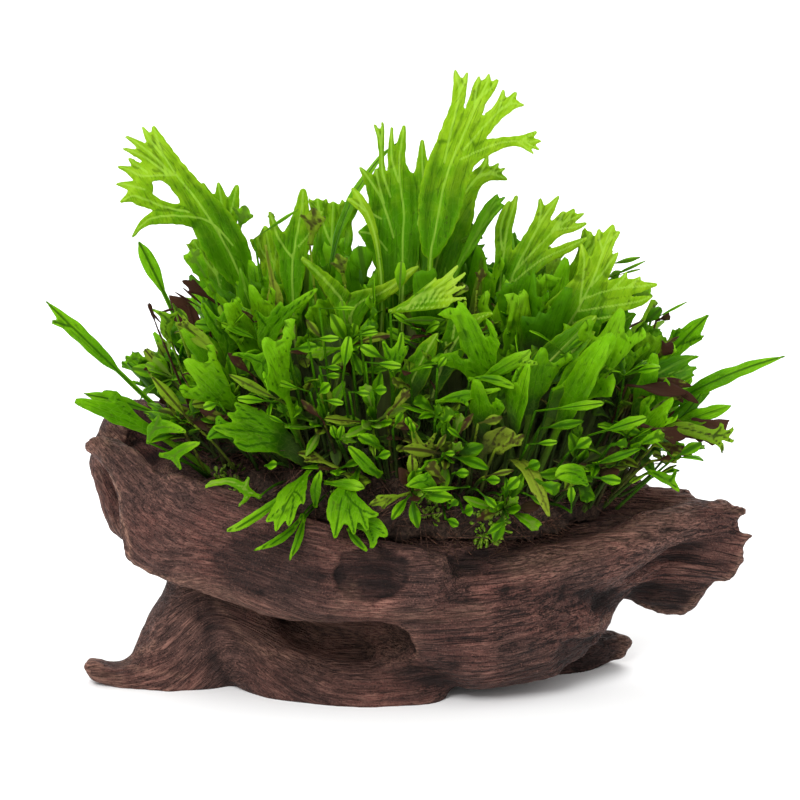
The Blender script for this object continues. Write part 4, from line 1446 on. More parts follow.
drawnLeaves = [
    ("green", -30, -36, 0.95, 0, 0.05, [
        [(-8.9, 127.6, 0.5), (-5.5, 128.6, 1.3), (-1.5, 130.3, 1.7), (2.4, 132.9, 1.6), (7.1, 136.2, 1.2),
         (12.4, 141.9, 0.4)], [(2.4, 132.9, 1.3), (8.4, 134.9, 1.1), (15.1, 139.6, 0.4)],
        [(1.1, 131.6, 1.2), (8.4, 133, 1), (15.1, 135.6, 0.4)],
        [(-1.5, 129.9, 1.2), (5.8, 130.9, 1), (15.1, 131.6, 0.5)],
        [(-4.9, 128.3, 0.9), (2.4, 128.6, 0.8), (11.1, 129.6, 0.3)],
        [(-2.2, 130.9, 0.9), (2.4, 134.9, 0.7), (5.8, 138.2, 0.3)]]),
    ("green", -20, -24, 0.4, 1, 0, [
        [(-61, 113, 0.5), (-60.8, 118.3, 2.8), (-61.4, 122.3, 3.1), (-60.6, 125.6, 2.3), (-59, 128.9, 1.3),
         (-58.6, 131.9, 0.3)],
        [(-62.7, 120.9, 2.5), (-65.4, 124.9, 2), (-67.7, 128.9, 1.2), (-68.4, 130.9, 0.3)],
        [(-58.7, 117, 1.7), (-56.4, 119, 0.8), (-54.7, 120.3, 0.3)]]),
    ("green", -22, -27, 0.45, 1, 0, [
        [(-47.4, 113, 0.7), (-48.1, 118.3, 2.7), (-47.1, 122.3, 3.2), (-44.4, 125.3, 2.5),
         (-40.1, 128.9, 1.6), (-35.4, 132.2, 1.2), (-31.8, 134.9, 0.4)],
        [(-48.1, 123.6, 2.5), (-49.7, 126.9, 1.3), (-51.1, 129.6, 0.3)],
        [(-44.8, 127.6, 1.9), (-43.4, 130.3, 0.9), (-42.8, 131.6, 0.3)]]),
    ("green", -32, -36, 0.85, 1, 0, [
        [(-47.9, 104, 0.5), (-48.6, 107.7, 2), (-48.9, 110.8, 3.3), (-47.1, 113, 2.3), (-44.1, 114.4, 1.5),
         (-40.4, 115.3, 0.4)],
        [(-49.7, 111.6, 2.5), (-52.7, 113.5, 1.5), (-55.4, 114.8, 0.9), (-58.4, 115.5, 0.3)]]),
    ("green", -34, -37, 0.75, 1, 0, [
        [(-8.2, 107, 0.5), (-8.2, 110.3, 1.6), (-7.4, 113.3, 2.1), (-5.9, 117, 1.3), (-5.4, 120.9, 0.5)],
        [(-8.9, 113, 1.9), (-10.5, 116.6, 0.9), (-11.5, 119.3, 0.3)],
        [(-6.5, 112.3, 1.6), (-4.1, 114.8, 0.7), (-3.4, 117, 0.3)]]),
    ("green", -28, -31, 0.5, 1, 0, [
        [(-59.4, 98.3, 0.5), (-60.7, 101, 2), (-64, 102.3, 2.8), (-68, 103.3, 1.3), (-73, 104, 0.3)],
        [(-61.4, 101.7, 2), (-59.4, 104.3, 1.2), (-60, 106, 0.3)]]),
    ("old", -36, -40, 0.5, 1, 0.42, [
        [(0.5, 80.4, 0.5), (-0.1, 85, 1.7), (-1.5, 89, 0.9), (-2.5, 93, 0.3)],
        [(0.8, 83.1, 1.2), (3.8, 87, 0.8), (5.8, 91, 0.3)],
        [(1.4, 82.4, 1.1), (5.8, 85.7, 0.7), (9.4, 87, 0.3)]]),
    ("old", -30, -34, 0.4, 1, 0.4, [
        [(-76, 123.6, 0.4), (-72.7, 122.3, 1.7), (-68.7, 119, 2.3), (-65.4, 116.3, 1.3),
         (-63.4, 114.3, 0.5)], [(-72, 121.6, 1.2), (-73.3, 124.9, 0.7), (-74.7, 126.9, 0.3)]]),
    ("old", -26, -28, 0.5, 1, 0.3, [
        [(-78.7, 118.3, 0.5), (-80, 121.6, 1.7), (-79.3, 124.9, 2), (-81.3, 126.9, 0.8),
         (-84.6, 128.6, 0.3)], [(-79.3, 123.6, 1.3), (-77.3, 126.3, 0.8), (-75.3, 127.6, 0.3)]]),
    ("green", -38, -42, 0.7, 0.6, 0.1, [
        [(-85.3, 86.4, 0.5), (-83.3, 90.4, 2), (-80, 91.7, 2.3), (-76.7, 91, 1.6), (-73, 89.7, 0.4)],
        [(-83.3, 89.7, 1.3), (-81.3, 93.7, 1.1), (-80.6, 95.7, 0.3)]]),
    ("green", -39, -43, 0.75, 0.6, 0.12, [
        [(-81.3, 82.4, 0.5), (-77.3, 82.4, 1.6), (-74, 84.4, 1.7), (-70.7, 85.7, 1.1), (-68.4, 86.4, 0.3)],
        [(-76.7, 81.7, 1.2), (-75.3, 79.1, 0.9), (-74.3, 77.7, 0.3)]]),
    ("green", -24, -30, 0.32, 0.3, 0, [
        [(4.3, 100.3, 1.1), (6.6, 108.2, 3.2), (9.3, 113.6, 4.1), (12.1, 118.9, 3.7), (15.4, 122.9, 2.5),
         (18.6, 125.4, 1.6), (23.1, 127, 0.5)],
        [(10.6, 118.9, 3.1), (12.1, 125.5, 2.3), (13.9, 128.9, 1.3), (14.9, 130.5, 0.4)],
        [(6.6, 109.6, 2.7), (8.6, 115.6, 1.5), (8.5, 118.2, 0.4)]]),
    ("green", -27, -25, 0.25, 0.3, 0, [
        [(27.2, 95.6, 1.3), (32.6, 102.9, 4.4), (37.9, 108.2, 5.1), (43.2, 113.6, 4.7), (48.5, 118.9, 3.6),
         (53.2, 123.9, 2.1), (56, 126.1, 0.5)],
        [(43.2, 108.2, 3.6), (48.5, 110.8, 2.3), (53.7, 111.6, 0.5)],
        [(48.5, 114.9, 2.9), (53.2, 118.9, 1.5), (55.6, 121.3, 0.4)]]),
    ("deep", -10, -8, 0.5, 0.3, 0, [
        [(51.2, 111.6, 1.3), (55.8, 116.2, 3.5), (60.5, 120.9, 4.1), (64.5, 124.2, 3.3),
         (67.8, 126.5, 1.5), (69.8, 127.4, 0.4)],
        [(62.5, 118.9, 2.9), (67.8, 120.7, 1.7), (71.2, 118.8, 0.4)]]),
    ("deep", -14, -12, 0.55, 0.3, 0, [
        [(64.5, 101.6, 0.8), (71.1, 104.9, 2.7), (77.1, 108.2, 3.5), (82.4, 111.2, 2.7), (86.4, 113, 1.2),
         (89.9, 113.7, 0.4)], [(80.4, 108.2, 2.3), (86.4, 109.4, 1.3), (89.4, 110.1, 0.4)],
        [(79.1, 106.3, 1.7), (84.4, 106.6, 1.1), (88.5, 107.7, 0.4)]]),
    ("green", -36, -40, 0.95, 0.8, 0.12, [
        [(19.9, 106.4, 0.5), (24.6, 108.9, 2), (29.2, 111.6, 2.4), (33.2, 113.7, 1.5), (34.9, 115.2, 0.4)],
        [(31.2, 111.6, 1.6), (37.3, 111.2, 0.5)]]),
    ("green", -38, -41, 0.9, 1, 0, [
        [(15.9, 106.3, 0.4), (20.6, 106.6, 1), (24.6, 105.9, 1.6), (27.9, 104.6, 1.2), (30, 103.6, 0.4)]]),
    ("green", -38, -41, 0.95, 1, 0, [
        [(5.8, 99.2, 0.4), (12.6, 100.9, 1.7), (17.9, 101.6, 1.3), (22.6, 102.6, 0.8), (26, 103.3, 0.4)],
        [(12, 100.6, 1.1), (14.6, 98.8, 0.7), (15.6, 97.1, 0.3)]]),
    ("green", -44, -46, 0.9, 1, 0, [
        [(52.8, 73.3, 0.4), (49.8, 76, 2.8), (46.9, 76.9, 3.1), (44.2, 76.5, 1.5), (43.1, 75.5, 0.4)]]),
    ("old", -22, -24, 0.3, 1, 0.8, [
        [(67.8, 100.9, 0.5), (72.4, 101.6, 1.5), (77.8, 101.6, 1.7), (82.4, 100.9, 1.2), (84.4, 98.9, 0.4)],
        [(79.1, 101.6, 1.1), (81.8, 102.9, 0.5), (83.7, 102.6, 0.3)]]),
    ("old", -24, -28, 0.4, 1, 0.36, [
        [(77.1, 89.6, 0.5), (83.1, 91, 1.9), (89.1, 89.6, 2.1), (94.4, 88.3, 1.7), (99, 89.6, 0.8),
         (100.4, 91.6, 0.3)], [(93.7, 88.3, 1.3), (96.4, 91, 0.9), (95.7, 92.6, 0.3)],
        [(93.7, 87.3, 1.3), (96.4, 85, 0.8), (96.4, 82.3, 0.3)],
        [(96.4, 88.3, 0.9), (99.4, 86.6, 0.6), (100.7, 87, 0.3)]]),
    ("old", -28, -34, 0.4, 1, 0.72, [
        [(75.1, 85.6, 0.5), (79.1, 85, 1.3), (83.1, 83.3, 1.1), (87.1, 81.7, 0.4)],
        [(79.1, 84.7, 0.8), (83.7, 84.7, 0.5), (87.7, 83.7, 0.3)]]),
    ("green", -34, -40, 0.5, 0.8, 0.2, [
        [(73.1, 77, 0.5), (76.4, 75.7, 1.5), (79.8, 73.7, 1.3), (82.1, 71, 0.5)],
        [(79.8, 74.3, 0.9), (81.8, 77.7, 0.5), (80.8, 79.3, 0.3)]]),
    ("deep", -36, -42, 0.6, 1, 0, [
        [(-51.1, 84.7, 0.4), (-55, 88.2, 2.2), (-59.5, 90.2, 2.6), (-63.5, 89.7, 2), (-65.9, 87.8, 0.7)],
        [(-61, 90.7, 1.8), (-63, 93.7, 1.2), (-63.5, 94.6, 0.3)]]),
    ("green", -44, -55, 0.9, 1, 0.1, [
        [(-36.1, 73.8, 0.3), (-41.1, 70.3, 0.9), (-46.1, 66.8, 1.3), (-51.1, 63.3, 1.5), (-56, 60.3, 1.3),
         (-59.8, 59, 0.5)]]),
    ("green", -46, -55, 0.7, 1, 0, [
        [(-36.6, 63.3, 0.3), (-40.1, 58.8, 1.1), (-44.1, 55.8, 1.3), (-48.6, 53.8, 0.7),
         (-51.8, 52.6, 0.3)]]),
    ("green", -46, -55, 0.7, 1, 0, [
        [(-36.1, 62.3, 0.3), (-37.1, 58.3, 1.2), (-38.3, 54.3, 1.2), (-39.8, 51.3, 0.6),
         (-40.7, 49.3, 0.3)]]),
    ("green", -42, -44, 0.7, 1, 0, [
        [(-32.6, 66.3, 0.5), (-32.6, 70.3, 1.7), (-32.1, 73.8, 1.5), (-31.1, 76.3, 0.9),
         (-30.9, 77.7, 0.3)]]),
    ("green", -42, -47, 0.95, 1, 0, [
        [(-29.4, 73.7, 0.3), (-26.1, 73.5, 1), (-22.6, 73.3, 1.8), (-19.6, 72.8, 1.7),
         (-17.4, 72.3, 0.5)]]),
    ("green", -48, -54, 0.5, 1, 0, [
        [(-23.1, 61.3, 0.5), (-17.6, 61.3, 2.3), (-13.6, 60.3, 2.5), (-11.2, 58.3, 1.5),
         (-10.4, 57.3, 0.4)], [(-15.1, 58.8, 2), (-14.1, 55.3, 1.3), (-14.9, 53.3, 0.4)]]),
    ("green", -48, -54, 0.6, 1, 0, [
        [(-22.1, 59.3, 0.3), (-20.6, 56.8, 1.1), (-18.1, 54.3, 1), (-15.9, 52.3, 0.3)]]),
    ("green", -40, -43, 0.7, 1, 0, [
        [(-12.6, 75.7, 0.3), (-15.6, 78.3, 1.8), (-18.1, 81.2, 2), (-20.6, 83.7, 1.3), (-21.9, 85, 0.4)],
        [(-15.1, 78.3, 1.5), (-13.1, 76.8, 1), (-11.2, 76.8, 0.5)]]),
    ("green", -38, -42, 0.55, 1, 0, [
        [(-12.1, 84.2, 0.3), (-13.6, 86.2, 1.5), (-16.1, 87.7, 1.6), (-18.9, 88.7, 0.6)]]),
    ("green", -46, -50, 0.4, 1, 0, [
        [(6.8, 69.3, 0.7), (3.8, 71.8, 2.2), (1.3, 74.3, 2.5), (-1.2, 73.8, 1.7), (-3.7, 72.9, 0.4)],
        [(2.3, 74.3, 1.7), (2.3, 76.3, 1.1), (2.1, 77.3, 0.4)]]),
    ("green", -44, -48, 0.8, 0.5, 0.15, [
        [(-50.1, 69.3, 0.3), (-54, 71.3, 1.3), (-58, 73.8, 1.3), (-61.5, 74.3, 0.9), (-67.5, 72.3, 0.3)],
        [(-55, 71.8, 0.9), (-53.8, 74.3, 0.7), (-53.3, 76, 0.3)],
        [(-54, 69.3, 0.9), (-55.5, 67.3, 0.7), (-57.5, 66.3, 0.3)],
        [(-62, 73.8, 0.7), (-64.5, 74.3, 0.5), (-66, 73.3, 0.3)]]),
]

# plain ones: stack, kind, base and tip (x, seen height), y of both, width, tint, age

plainLeaves = [
    ("small", "spoon", (-8.9, 111.6), (-18.2, 116.6), -36, -40, 4.0, 0.8, 0),
    ("small", "spoon", (-16.7, 111.6), (-5.4, 110.3), -38, -41, 2.8, 1, 0),
    ("small", "spoon", (-24, 105.7), (-21.8, 119.6), -38, -42, 4.1, 0.85, 0),
    ("small", "disc", (-31.6, 101.7), (-27.8, 104.7), -40, -42, 3.9, 0.7, 0),
    ("small", "disc", (-25.8, 87), (-27.3, 91.7), -40, -42, 2.5, 0.8, 0),
    ("small", "disc", (-25.1, 87), (-24, 91.7), -40, -42, 2.5, 0.8, 0),
    ("small", "spoon", (-11.2, 84.7), (-19, 88.5), -40, -43, 3.7, 0.6, 0),
    ("small", "disc", (-13.4, 81.7), (-8.9, 83.2), -42, -44, 3.1, 0.7, 0),
    ("small", "spoon", (-21.8, 102.3), (-15.4, 101.7), -40, -42, 2.3, 1, 0),
    ("small", "spoon", (-31.8, 100), (-23.5, 98.7), -40, -43, 2.3, 0.95, 0),
    ("small", "spoon", (-43.8, 99.1), (-56.9, 100.2), -38, -42, 2.8, 0.8, 0),
    ("small", "spoon", (-34.1, 102.2), (-45.9, 106), -40, -44, 2.3, 1, 0),
    ("small", "disc", (-41.4, 117.3), (-40.2, 121.6), -32, -34, 4.0, 0.3, 0.2),
    ("small", "spoon", (-31.1, 110.2), (-24.7, 109.8), -36, -39, 2.1, 0.6, 0),
    ("small", "spoon", (-31.3, 107.5), (-24.9, 107.3), -36, -39, 2.1, 0.65, 0),
    ("small", "disc", (-14.5, 102.7), (-10.1, 103), -40, -42, 3.3, 0.6, 0.1),
    ("small", "spoon", (-34.8, 118.8), (-24.9, 119), -36, -40, 2.4, 1, 0),
    ("small", "spoon", (-31.1, 128.4), (-19.6, 128.4), -34, -38, 1.2, 0.9, 0),
    ("small", "spoon", (-21.5, 119.6), (-12.7, 120.9), -36, -39, 1.9, 0.8, 0),
    ("small", "disc", (-18.2, 121.3), (-13.5, 122.3), -34, -36, 2.4, 0.7, 0.2),
    ("small", "disc", (-62.6, 99), (-67.4, 97.3), -42, -44, 3.1, 1, 0),
    ("small", "disc", (-48.2, 79.1), (-44.4, 79.7), -46, -48, 3.6, 0.6, 0),
    ("small", "disc", (-2.5, 90.5), (-3.7, 94.4), -40, -42, 2.4, 0.9, 0.1),
    ("small", "disc", (-1.5, 89), (-2.5, 92.7), -41, -43, 2.3, 0.9, 0.1),
    ("small", "miniTwo", (5.8, 91), (10.4, 97.3), -40, -43, 4.0, 0.9, 0),
    ("small", "spoon", (7.4, 82.4), (11.2, 83.2), -44, -46, 2.1, 0.95, 0),
    ("small", "disc", (2.8, 79.4), (5.9, 80.4), -44, -46, 2.0, 0.9, 0),
    ("small", "disc", (-3, 76.7), (1.1, 77.7), -44, -46, 2.4, 0.8, 0),
    ("small", "disc", (10.8, 76.7), (15.7, 76.9), -44, -46, 3.1, 0.8, 0),
    ("small", "spoon", (7.4, 69.8), (11.1, 67.8), -46, -48, 2.7, 0.6, 0.1),
    ("old", "lance", (-71, 91.8), (-83.6, 107), -34, -38, 4.4, 0.6, 0.42),
    ("old", "lance", (-41.4, 98.3), (-59.4, 107.7), -36, -40, 3.3, 0.5, 0.36),
    ("old", "lance", (-30.1, 118.3), (-35.4, 124.9), -30, -32, 2.7, 0.4, 0.4),
    ("small", "lance", (-40.8, 91.7), (-47.4, 95), -44, -46, 1.5, 0.7, 0),
    ("small", "spoon", (-41.4, 115.6), (-32.1, 116.6), -30, -34, 4.0, 0.3, 0.1),
    ("small", "miniTwo", (-15.5, 124.9), (-13.5, 128.3), -34, -36, 3.3, 0.8, 0),
    ("small", "lance", (-78, 130.3), (-73, 124.9), -20, -24, 2.0, 0.5, 0.3),
    ("small", "lance", (-41.4, 113), (-44.8, 118.3), -28, -30, 1.7, 0.5, 0),
    ("small", "disc", (5.8, 109.6), (8.4, 113), -40, -42, 2.3, 0.9, 0),
    ("small", "miniThree", (5.1, 93.7), (6.4, 98.3), -42, -44, 4.0, 0.85, 0),
    ("small", "spoon", (-8.2, 90.4), (-5.2, 95.7), -40, -42, 2.7, 0.7, 0),
    ("small", "spoon", (15.1, 86.4), (9.1, 91), -38, -42, 2.0, 0.8, 0),
    ("small", "spoon", (36.5, 96.2), (57.8, 98.8), -40, -46, 3.2, 0.85, 0),
    ("small", "spoon", (53.2, 88.3), (71.5, 94.2), -36, -42, 4.1, 0.7, 0),
    ("small", "spoon", (34.2, 85.8), (43.3, 86.6), -44, -47, 2.4, 0.95, 0),
    ("small", "lance", (37.9, 90.6), (51.8, 93), -36, -40, 3.3, 0.3, 0),
    ("small", "spoon", (47.2, 83.3), (53.8, 87.6), -42, -45, 4.1, 0.9, 0),
    ("small", "miniTwo", (67.1, 84.9), (77.4, 89.3), -36, -40, 4.0, 0.9, 0),
    ("small", "lance", (52.5, 78.2), (70.1, 84.5), -34, -38, 2.8, 0.4, 0),
    ("small", "spoon", (53.5, 75.7), (63.7, 74.2), -40, -43, 3.5, 0.7, 0),
    ("small", "spoon", (48, 64.4), (47.7, 72.5), -46, -48, 2.7, 0.95, 0),
    ("small", "disc", (33.9, 78.3), (37.9, 80), -42, -44, 4.0, 0.4, 0),
    ("small", "spoon", (25.6, 69.8), (31.4, 75.3), -44, -47, 4.0, 0.95, 0.1),
    ("small", "disc", (7.6, 83.1), (11.3, 83.1), -44, -46, 2.0, 0.9, 0),
    ("small", "disc", (11.3, 77), (15.4, 76.9), -46, -48, 2.7, 0.7, 0),
    ("small", "disc", (13.9, 64.4), (16.9, 65.7), -48, -50, 4.0, 0.4, 0),
    ("small", "spoon", (9.3, 65.7), (12, 68.4), -48, -50, 3.3, 0.4, 0),
    ("small", "lance", (15.9, 72.4), (0.7, 71.7), -46, -50, 1.6, 1, 0),
    ("small", "miniThree", (8, 90.3), (8.6, 96.3), -40, -42, 6.0, 0.9, 0),
    ("small", "miniTwo", (51.2, 101.6), (59.2, 110.9), -30, -34, 4.0, 0.85, 0.1),
    ("small", "lance", (48.5, 104.3), (53.2, 109.6), -32, -34, 2.0, 0.8, 0),
    ("small", "miniThree", (41.9, 102.9), (51.2, 106.9), -36, -40, 4.7, 0.95, 0.15),
    ("small", "lance", (60.5, 92.3), (70.5, 89), -30, -34, 3.3, 0.4, 0),
    ("small", "miniTwo", (60.5, 85.6), (65.8, 86.3), -38, -40, 3.3, 0.8, 0),
    ("old", "lance", (18.6, 92.3), (26.2, 94.3), -40, -43, 4.7, 0.5, 0.42),
    ("old", "lance", (4.6, 82.3), (8.6, 89), -38, -40, 2.0, 0.4, 0.45),
    ("old", "lance", (20.6, 75.7), (29.9, 77.7), -44, -46, 2.0, 0.4, 0.45),
    ("old", "miniThree", (19.9, 121.5), (23.3, 124.2), -30, -32, 4.0, 0.4, 0.55),
    ("old", "lance", (75.1, 114.9), (83.7, 120.2), -8, -10, 1.7, 0.4, 0.75),
    ("old", "miniThree", (75.8, 112.9), (81.8, 117.6), -10, -12, 6.0, 0.4, 0.85),
    ("old", "lance", (79.1, 93.6), (81.8, 96.3), -20, -22, 0.9, 0.4, 0.9),
    ("old", "miniTwo", (77.1, 125.5), (81.8, 126.9), 0, 0, 3.3, 0.4, 0.8),
    ("old", "miniThree", (73.8, 80.3), (83.1, 81.7), -30, -34, 4.0, 0.4, 0.7),
    ("deep", "spoon", (70.5, 122.2), (78.4, 129.5), -4, -4, 4.0, 0.4, 0),
    ("green", "lance", (60.5, 138.8), (65.5, 141.5), 2, 2, 3.3, 0.3, 0),
    ("green", "lance", (61.1, 143.3), (71.8, 145.8), 4, 2, 1.7, 0.8, 0.2),
    ("green", "lance", (60.5, 138.8), (73.5, 144.7), 2, 0, 0.9, 0.8, 0.2),
    ("green", "lance", (64.5, 140.2), (71.5, 142), 0, -2, 0.9, 0.9, 0.2),
    ("green", "lance", (75.1, 125.5), (86.5, 131.4), -4, -6, 0.9, 0.8, 0.1),
    ("deep", "miniThree", (64.5, 130.9), (69.8, 136.8), 4, 4, 6.0, 0.9, 0),
    ("green", "miniThree", (67.8, 130.9), (75.1, 136.8), 2, 2, 8.0, 0.9, 0),
    ("old", "miniThree", (18.6, 134.8), (20.6, 141.5), -14, -14, 4.0, 0.5, 0.55),
    ("green", "miniThree", (43.2, 136.8), (37.9, 142.8), 10, 8, 6.0, 0.9, 0.15),
    ("green", "miniThree", (13.9, 150.8), (20.6, 154.8), 2, 2, 7.3, 0.9, 0),
    ("old", "lance", (-74, 130.3), (-83.3, 127.6), -8, -10, 0.8, 0.3, 0.95),
    ("old", "miniTwo", (-83.3, 122.3), (-86, 130.9), -14, -16, 1.3, 0.3, 0.9),
    ("old", "lance", (-80.6, 122.3), (-86, 128.9), -16, -18, 0.7, 0.3, 0.95),
    ("old", "miniThree", (-64, 130.3), (-75.3, 138.2), -6, -8, 4.7, 0.3, 1),
    ("old", "lance", (-69.3, 128.9), (-78, 134.2), -8, -10, 0.9, 0.3, 0.95),
    ("old", "lance", (-67.4, 128.9), (-75.3, 135.6), -9, -12, 0.8, 0.3, 1),
    ("old", "disc", (-74.7, 107.7), (-65.4, 109.6), -30, -32, 3.3, 0.3, 0.8),
    ("old", "miniTwo", (-85.3, 109), (-86, 109.6), -34, -36, 2.0, 0.4, 0.7),
    ("green", "miniTwo", (-65.4, 133.6), (-73, 147.9), -10, -12, 6.0, 0.5, 0.05),
    ("green", "miniThree", (-58.7, 154.2), (-55.4, 162.2), 8, 6, 8.0, 0.7, 0.15),
    ("old", "miniThree", (-34.8, 149.5), (-32.8, 160.8), -4, -6, 8.6, 0.6, 0.45),
    ("green", "miniTwo", (-46.1, 156.8), (-48.1, 160.2), 10, 10, 2.7, 0.8, 0.1),
    ("green", "lance", (-52.7, 151.5), (-38.4, 160.8), -2, -4, 0.9, 0.6, 0),
    ("old", "miniThree", (-23.5, 136.9), (-25.5, 146.2), -12, -14, 6.0, 0.5, 0.4),
    ("deep", "spoon", (-16.8, 136.9), (-18.8, 148.9), -8, -10, 8.0, 0.8, 0),
    ("green", "spoon", (-6.2, 130.3), (-5.5, 143.5), -20, -22, 4.0, 0.7, 0),
    ("green", "lance", (-8.9, 124.9), (8.4, 124.9), -22, -26, 2.7, 0.3, 0),
    ("old", "lance", (66, 104.5), (85, 102.2), -27, -29, 5.0, 0.3, 0.95),
    ("old", "lance", (71, 107.2), (87, 104.2), -22, -23, 3.2, 0.3, 0.85),
    ("old", "miniThree", (70, 92), (84, 87.4), -33, -35, 6.0, 0.3, 0.9),
    ("old", "lance", (78, 106), (89, 98.6), -24, -27, 2.6, 0.3, 0.95),
    ("old", "miniTwo", (82, 93.4), (92, 87.2), -22, -26, 4.4, 0.3, 0.8),
    ("old", "lance", (-52, 107), (-60, 114.6), -30, -33, 3.0, 0.4, 0.9),
    ("old", "lance", (-57, 92), (-69, 96.4), -33, -36, 3.4, 0.4, 0.8),
    ("old", "miniTwo", (-10, 95), (-3, 103), -37, -40, 3.4, 0.4, 0.7),
    ("old", "lance", (-30, 93), (-37, 99.8), -37, -40, 2.6, 0.4, 0.85),
    ("old", "miniThree", (24, 84), (33, 88.4), -40, -43, 5.0, 0.4, 0.5),
    ("old", "lance", (12, 88), (17, 95.6), -38, -41, 2.4, 0.4, 0.8),
    ("old", "miniTwo", (8, 74), (3, 80.2), -44, -47, 4.2, 0.4, 0.6),
    ("small", "spoon", (18.6, 71.4), (24.2, 66.2), -46, -49, 2.8, 0.5, 0.1),
    ("small", "disc", (20.6, 74.8), (25.4, 74.6), -45, -48, 3.0, 0.6, 0),
    ("small", "lance", (33.2, 70.4), (40.6, 66.8), -46, -49, 2.6, 0.7, 0),
    ("small", "miniTwo", (36.4, 74.6), (44.2, 71.2), -45, -48, 4.4, 0.6, 0),
    ("small", "lance", (28.2, 62.6), (21.4, 57.8), -47, -51, 2.2, 0.7, 0),
    ("small", "disc", (8.4, 62.4), (12.4, 60.6), -48, -51, 3.2, 0.4, 0),
]


# loose leaves: the ones drawn above, fans of medium fronds, short shoots of small leaves and a dark heart

clump = dict(
    # outline of the dense clump seen from the front: (x, height of its top)
    top=[(-92, 104), (-82, 118), (-74, 128), (-66, 138), (-55, 146), (-40, 148), (-25, 142), (-10, 144),
         (4, 152), (20, 152), (34, 148), (48, 144), (60, 136), (72, 124), (84, 110), (96, 96)],
    mediumFronds=110, deepFronds=150, shoots=120, rimShoots=46, heartLeaves=170,
    room=1.0, stem=0.42,
    # the upper face of the root mat: (x, its height), and how fast it falls to the front and the back
    matTop=[(-70, 74), (-40, 77), (-5, 71), (32, 66), (66, 63)], matFall=0.012,
    # where stems spring from on the mat, from left to right and from front to back
    matSpan=(-70, 66), matDepth=(-21, 23),
    # the same for the ends of the shoots and the middle of the dark blades, and the leaves on a shoot
    shootSpan=(-80, 84), shootDepth=(-37, 44), shootLeaves=(6, 10),
    rimSpan=(-66, 66), rimDepth=(30, 42), rimLeaves=(5, 8),
    heartSpan=(-72, 74), heartDepth=(-9, 15), heartDrop=(9, 34), heartWide=(9, 13),
    # a medium frond's length, its lean outward for each millimetre from the middle, and how that varies
    mediumLong=(26, 78), mediumLean=(0.010, 0.022), mediumVary=(0.20, 0.16),
    mediumKinds=["forkTwo", "forkThree", "forkFan", "lanceLong", "lanceSide", "lanceLeft", "forkTwo",
                 "toothed"],
    # the small leaves: length, width, kinds, and the shares that are fresh and at most yellow
    smallLong=(6, 16), smallWide=(2.0, 4.4), miniWide=(4.0, 7.5),
    smallKinds=["spoon", "miniThree", "disc", "lance", "lance", "miniTwo"],
    freshShare=0.72, yellowShare=0.89,
    shootDrop=22,     # the shoots end at least this far below the clump's top
    rimTop=[(-66, 86), (0, 80), (66, 76)],
    back=52.0,        # how far back a medium frond may lean
    parting=2.0,      # the small leaves are two pieces, parted at this x
)


def heightAt(outline, x):
    # the height at x of an outline given as (x, height)
    return np.interp(x, *zip(*outline))


def clumpTop(x):
    return heightAt(clump["top"], x)


def woodTree():
    bm = bmesh.new()
    bm.from_mesh(woodPiece.data)
    tree = BVHTree.FromBMesh(bm)
    bm.free()
    return tree


woodSurface = woodTree()


def woodNear(point):
    # how deep a point lies in the wood (negative outside), and the way out
    place, normal, _, _ = woodSurface.find_nearest(Vector(point) * mm)
    return -(Vector(point) * mm - place).dot(normal) / mm, np.array(normal)


def depthInWood(point):
    return woodNear(point)[0]


def clearOfWood(curve, room):
    return all(depthInWood(curve[k]) < -room for k in range(len(curve) // 3, len(curve), 4))


def keepClear(curve, room):
    # the curve with its points moved out of the wood, then smoothed
    moved = curve.copy()
    for k, point in enumerate(moved):
        depth, out = woodNear(point)
        if -6.0 > depth or depth > 14.0:
            continue
        if depth > -room:
            moved[k] = point + out * (depth + room)
    for _ in range(3):
        moved[1:-1] = (moved[:-2] + 2 * moved[1:-1] + moved[2:]) / 4
    return moved


def matTop(x, y):
    return heightAt(clump["matTop"], x) - clump["matFall"] * y * y


def matPoint(rng):
    x = rng.uniform(*clump["matSpan"])
    y = rng.uniform(*clump["matDepth"]) * (1 - 0.25 * abs(x) / 70)
    return np.array([x, y, matTop(x, y) + rng.uniform(-3, 2)])


def matNear(point):
    # the mat's place that a leaf at this point would spring from
    x = np.clip(point[0] * 0.82, -68, 64)
    y = np.clip(point[1] * 0.5, -18, 20)
    return np.array([x, y, min(matTop(x, y), point[2] - 2)])


def stemTo(stack, end, old):
    # a thin stem from the mat to a leaf's lower end
    root = matNear(end)
    middle = (root + end) / 2 + np.array([0, 0.12 * (root[1] - end[1]), 2.0])
    path = keepClear(bendLine(root, middle, end, 8), 0.3)
    path[-1] = end
    stack.addStem(path, clump["stem"] * np.linspace(1.5, 0.9, 8), old=old)


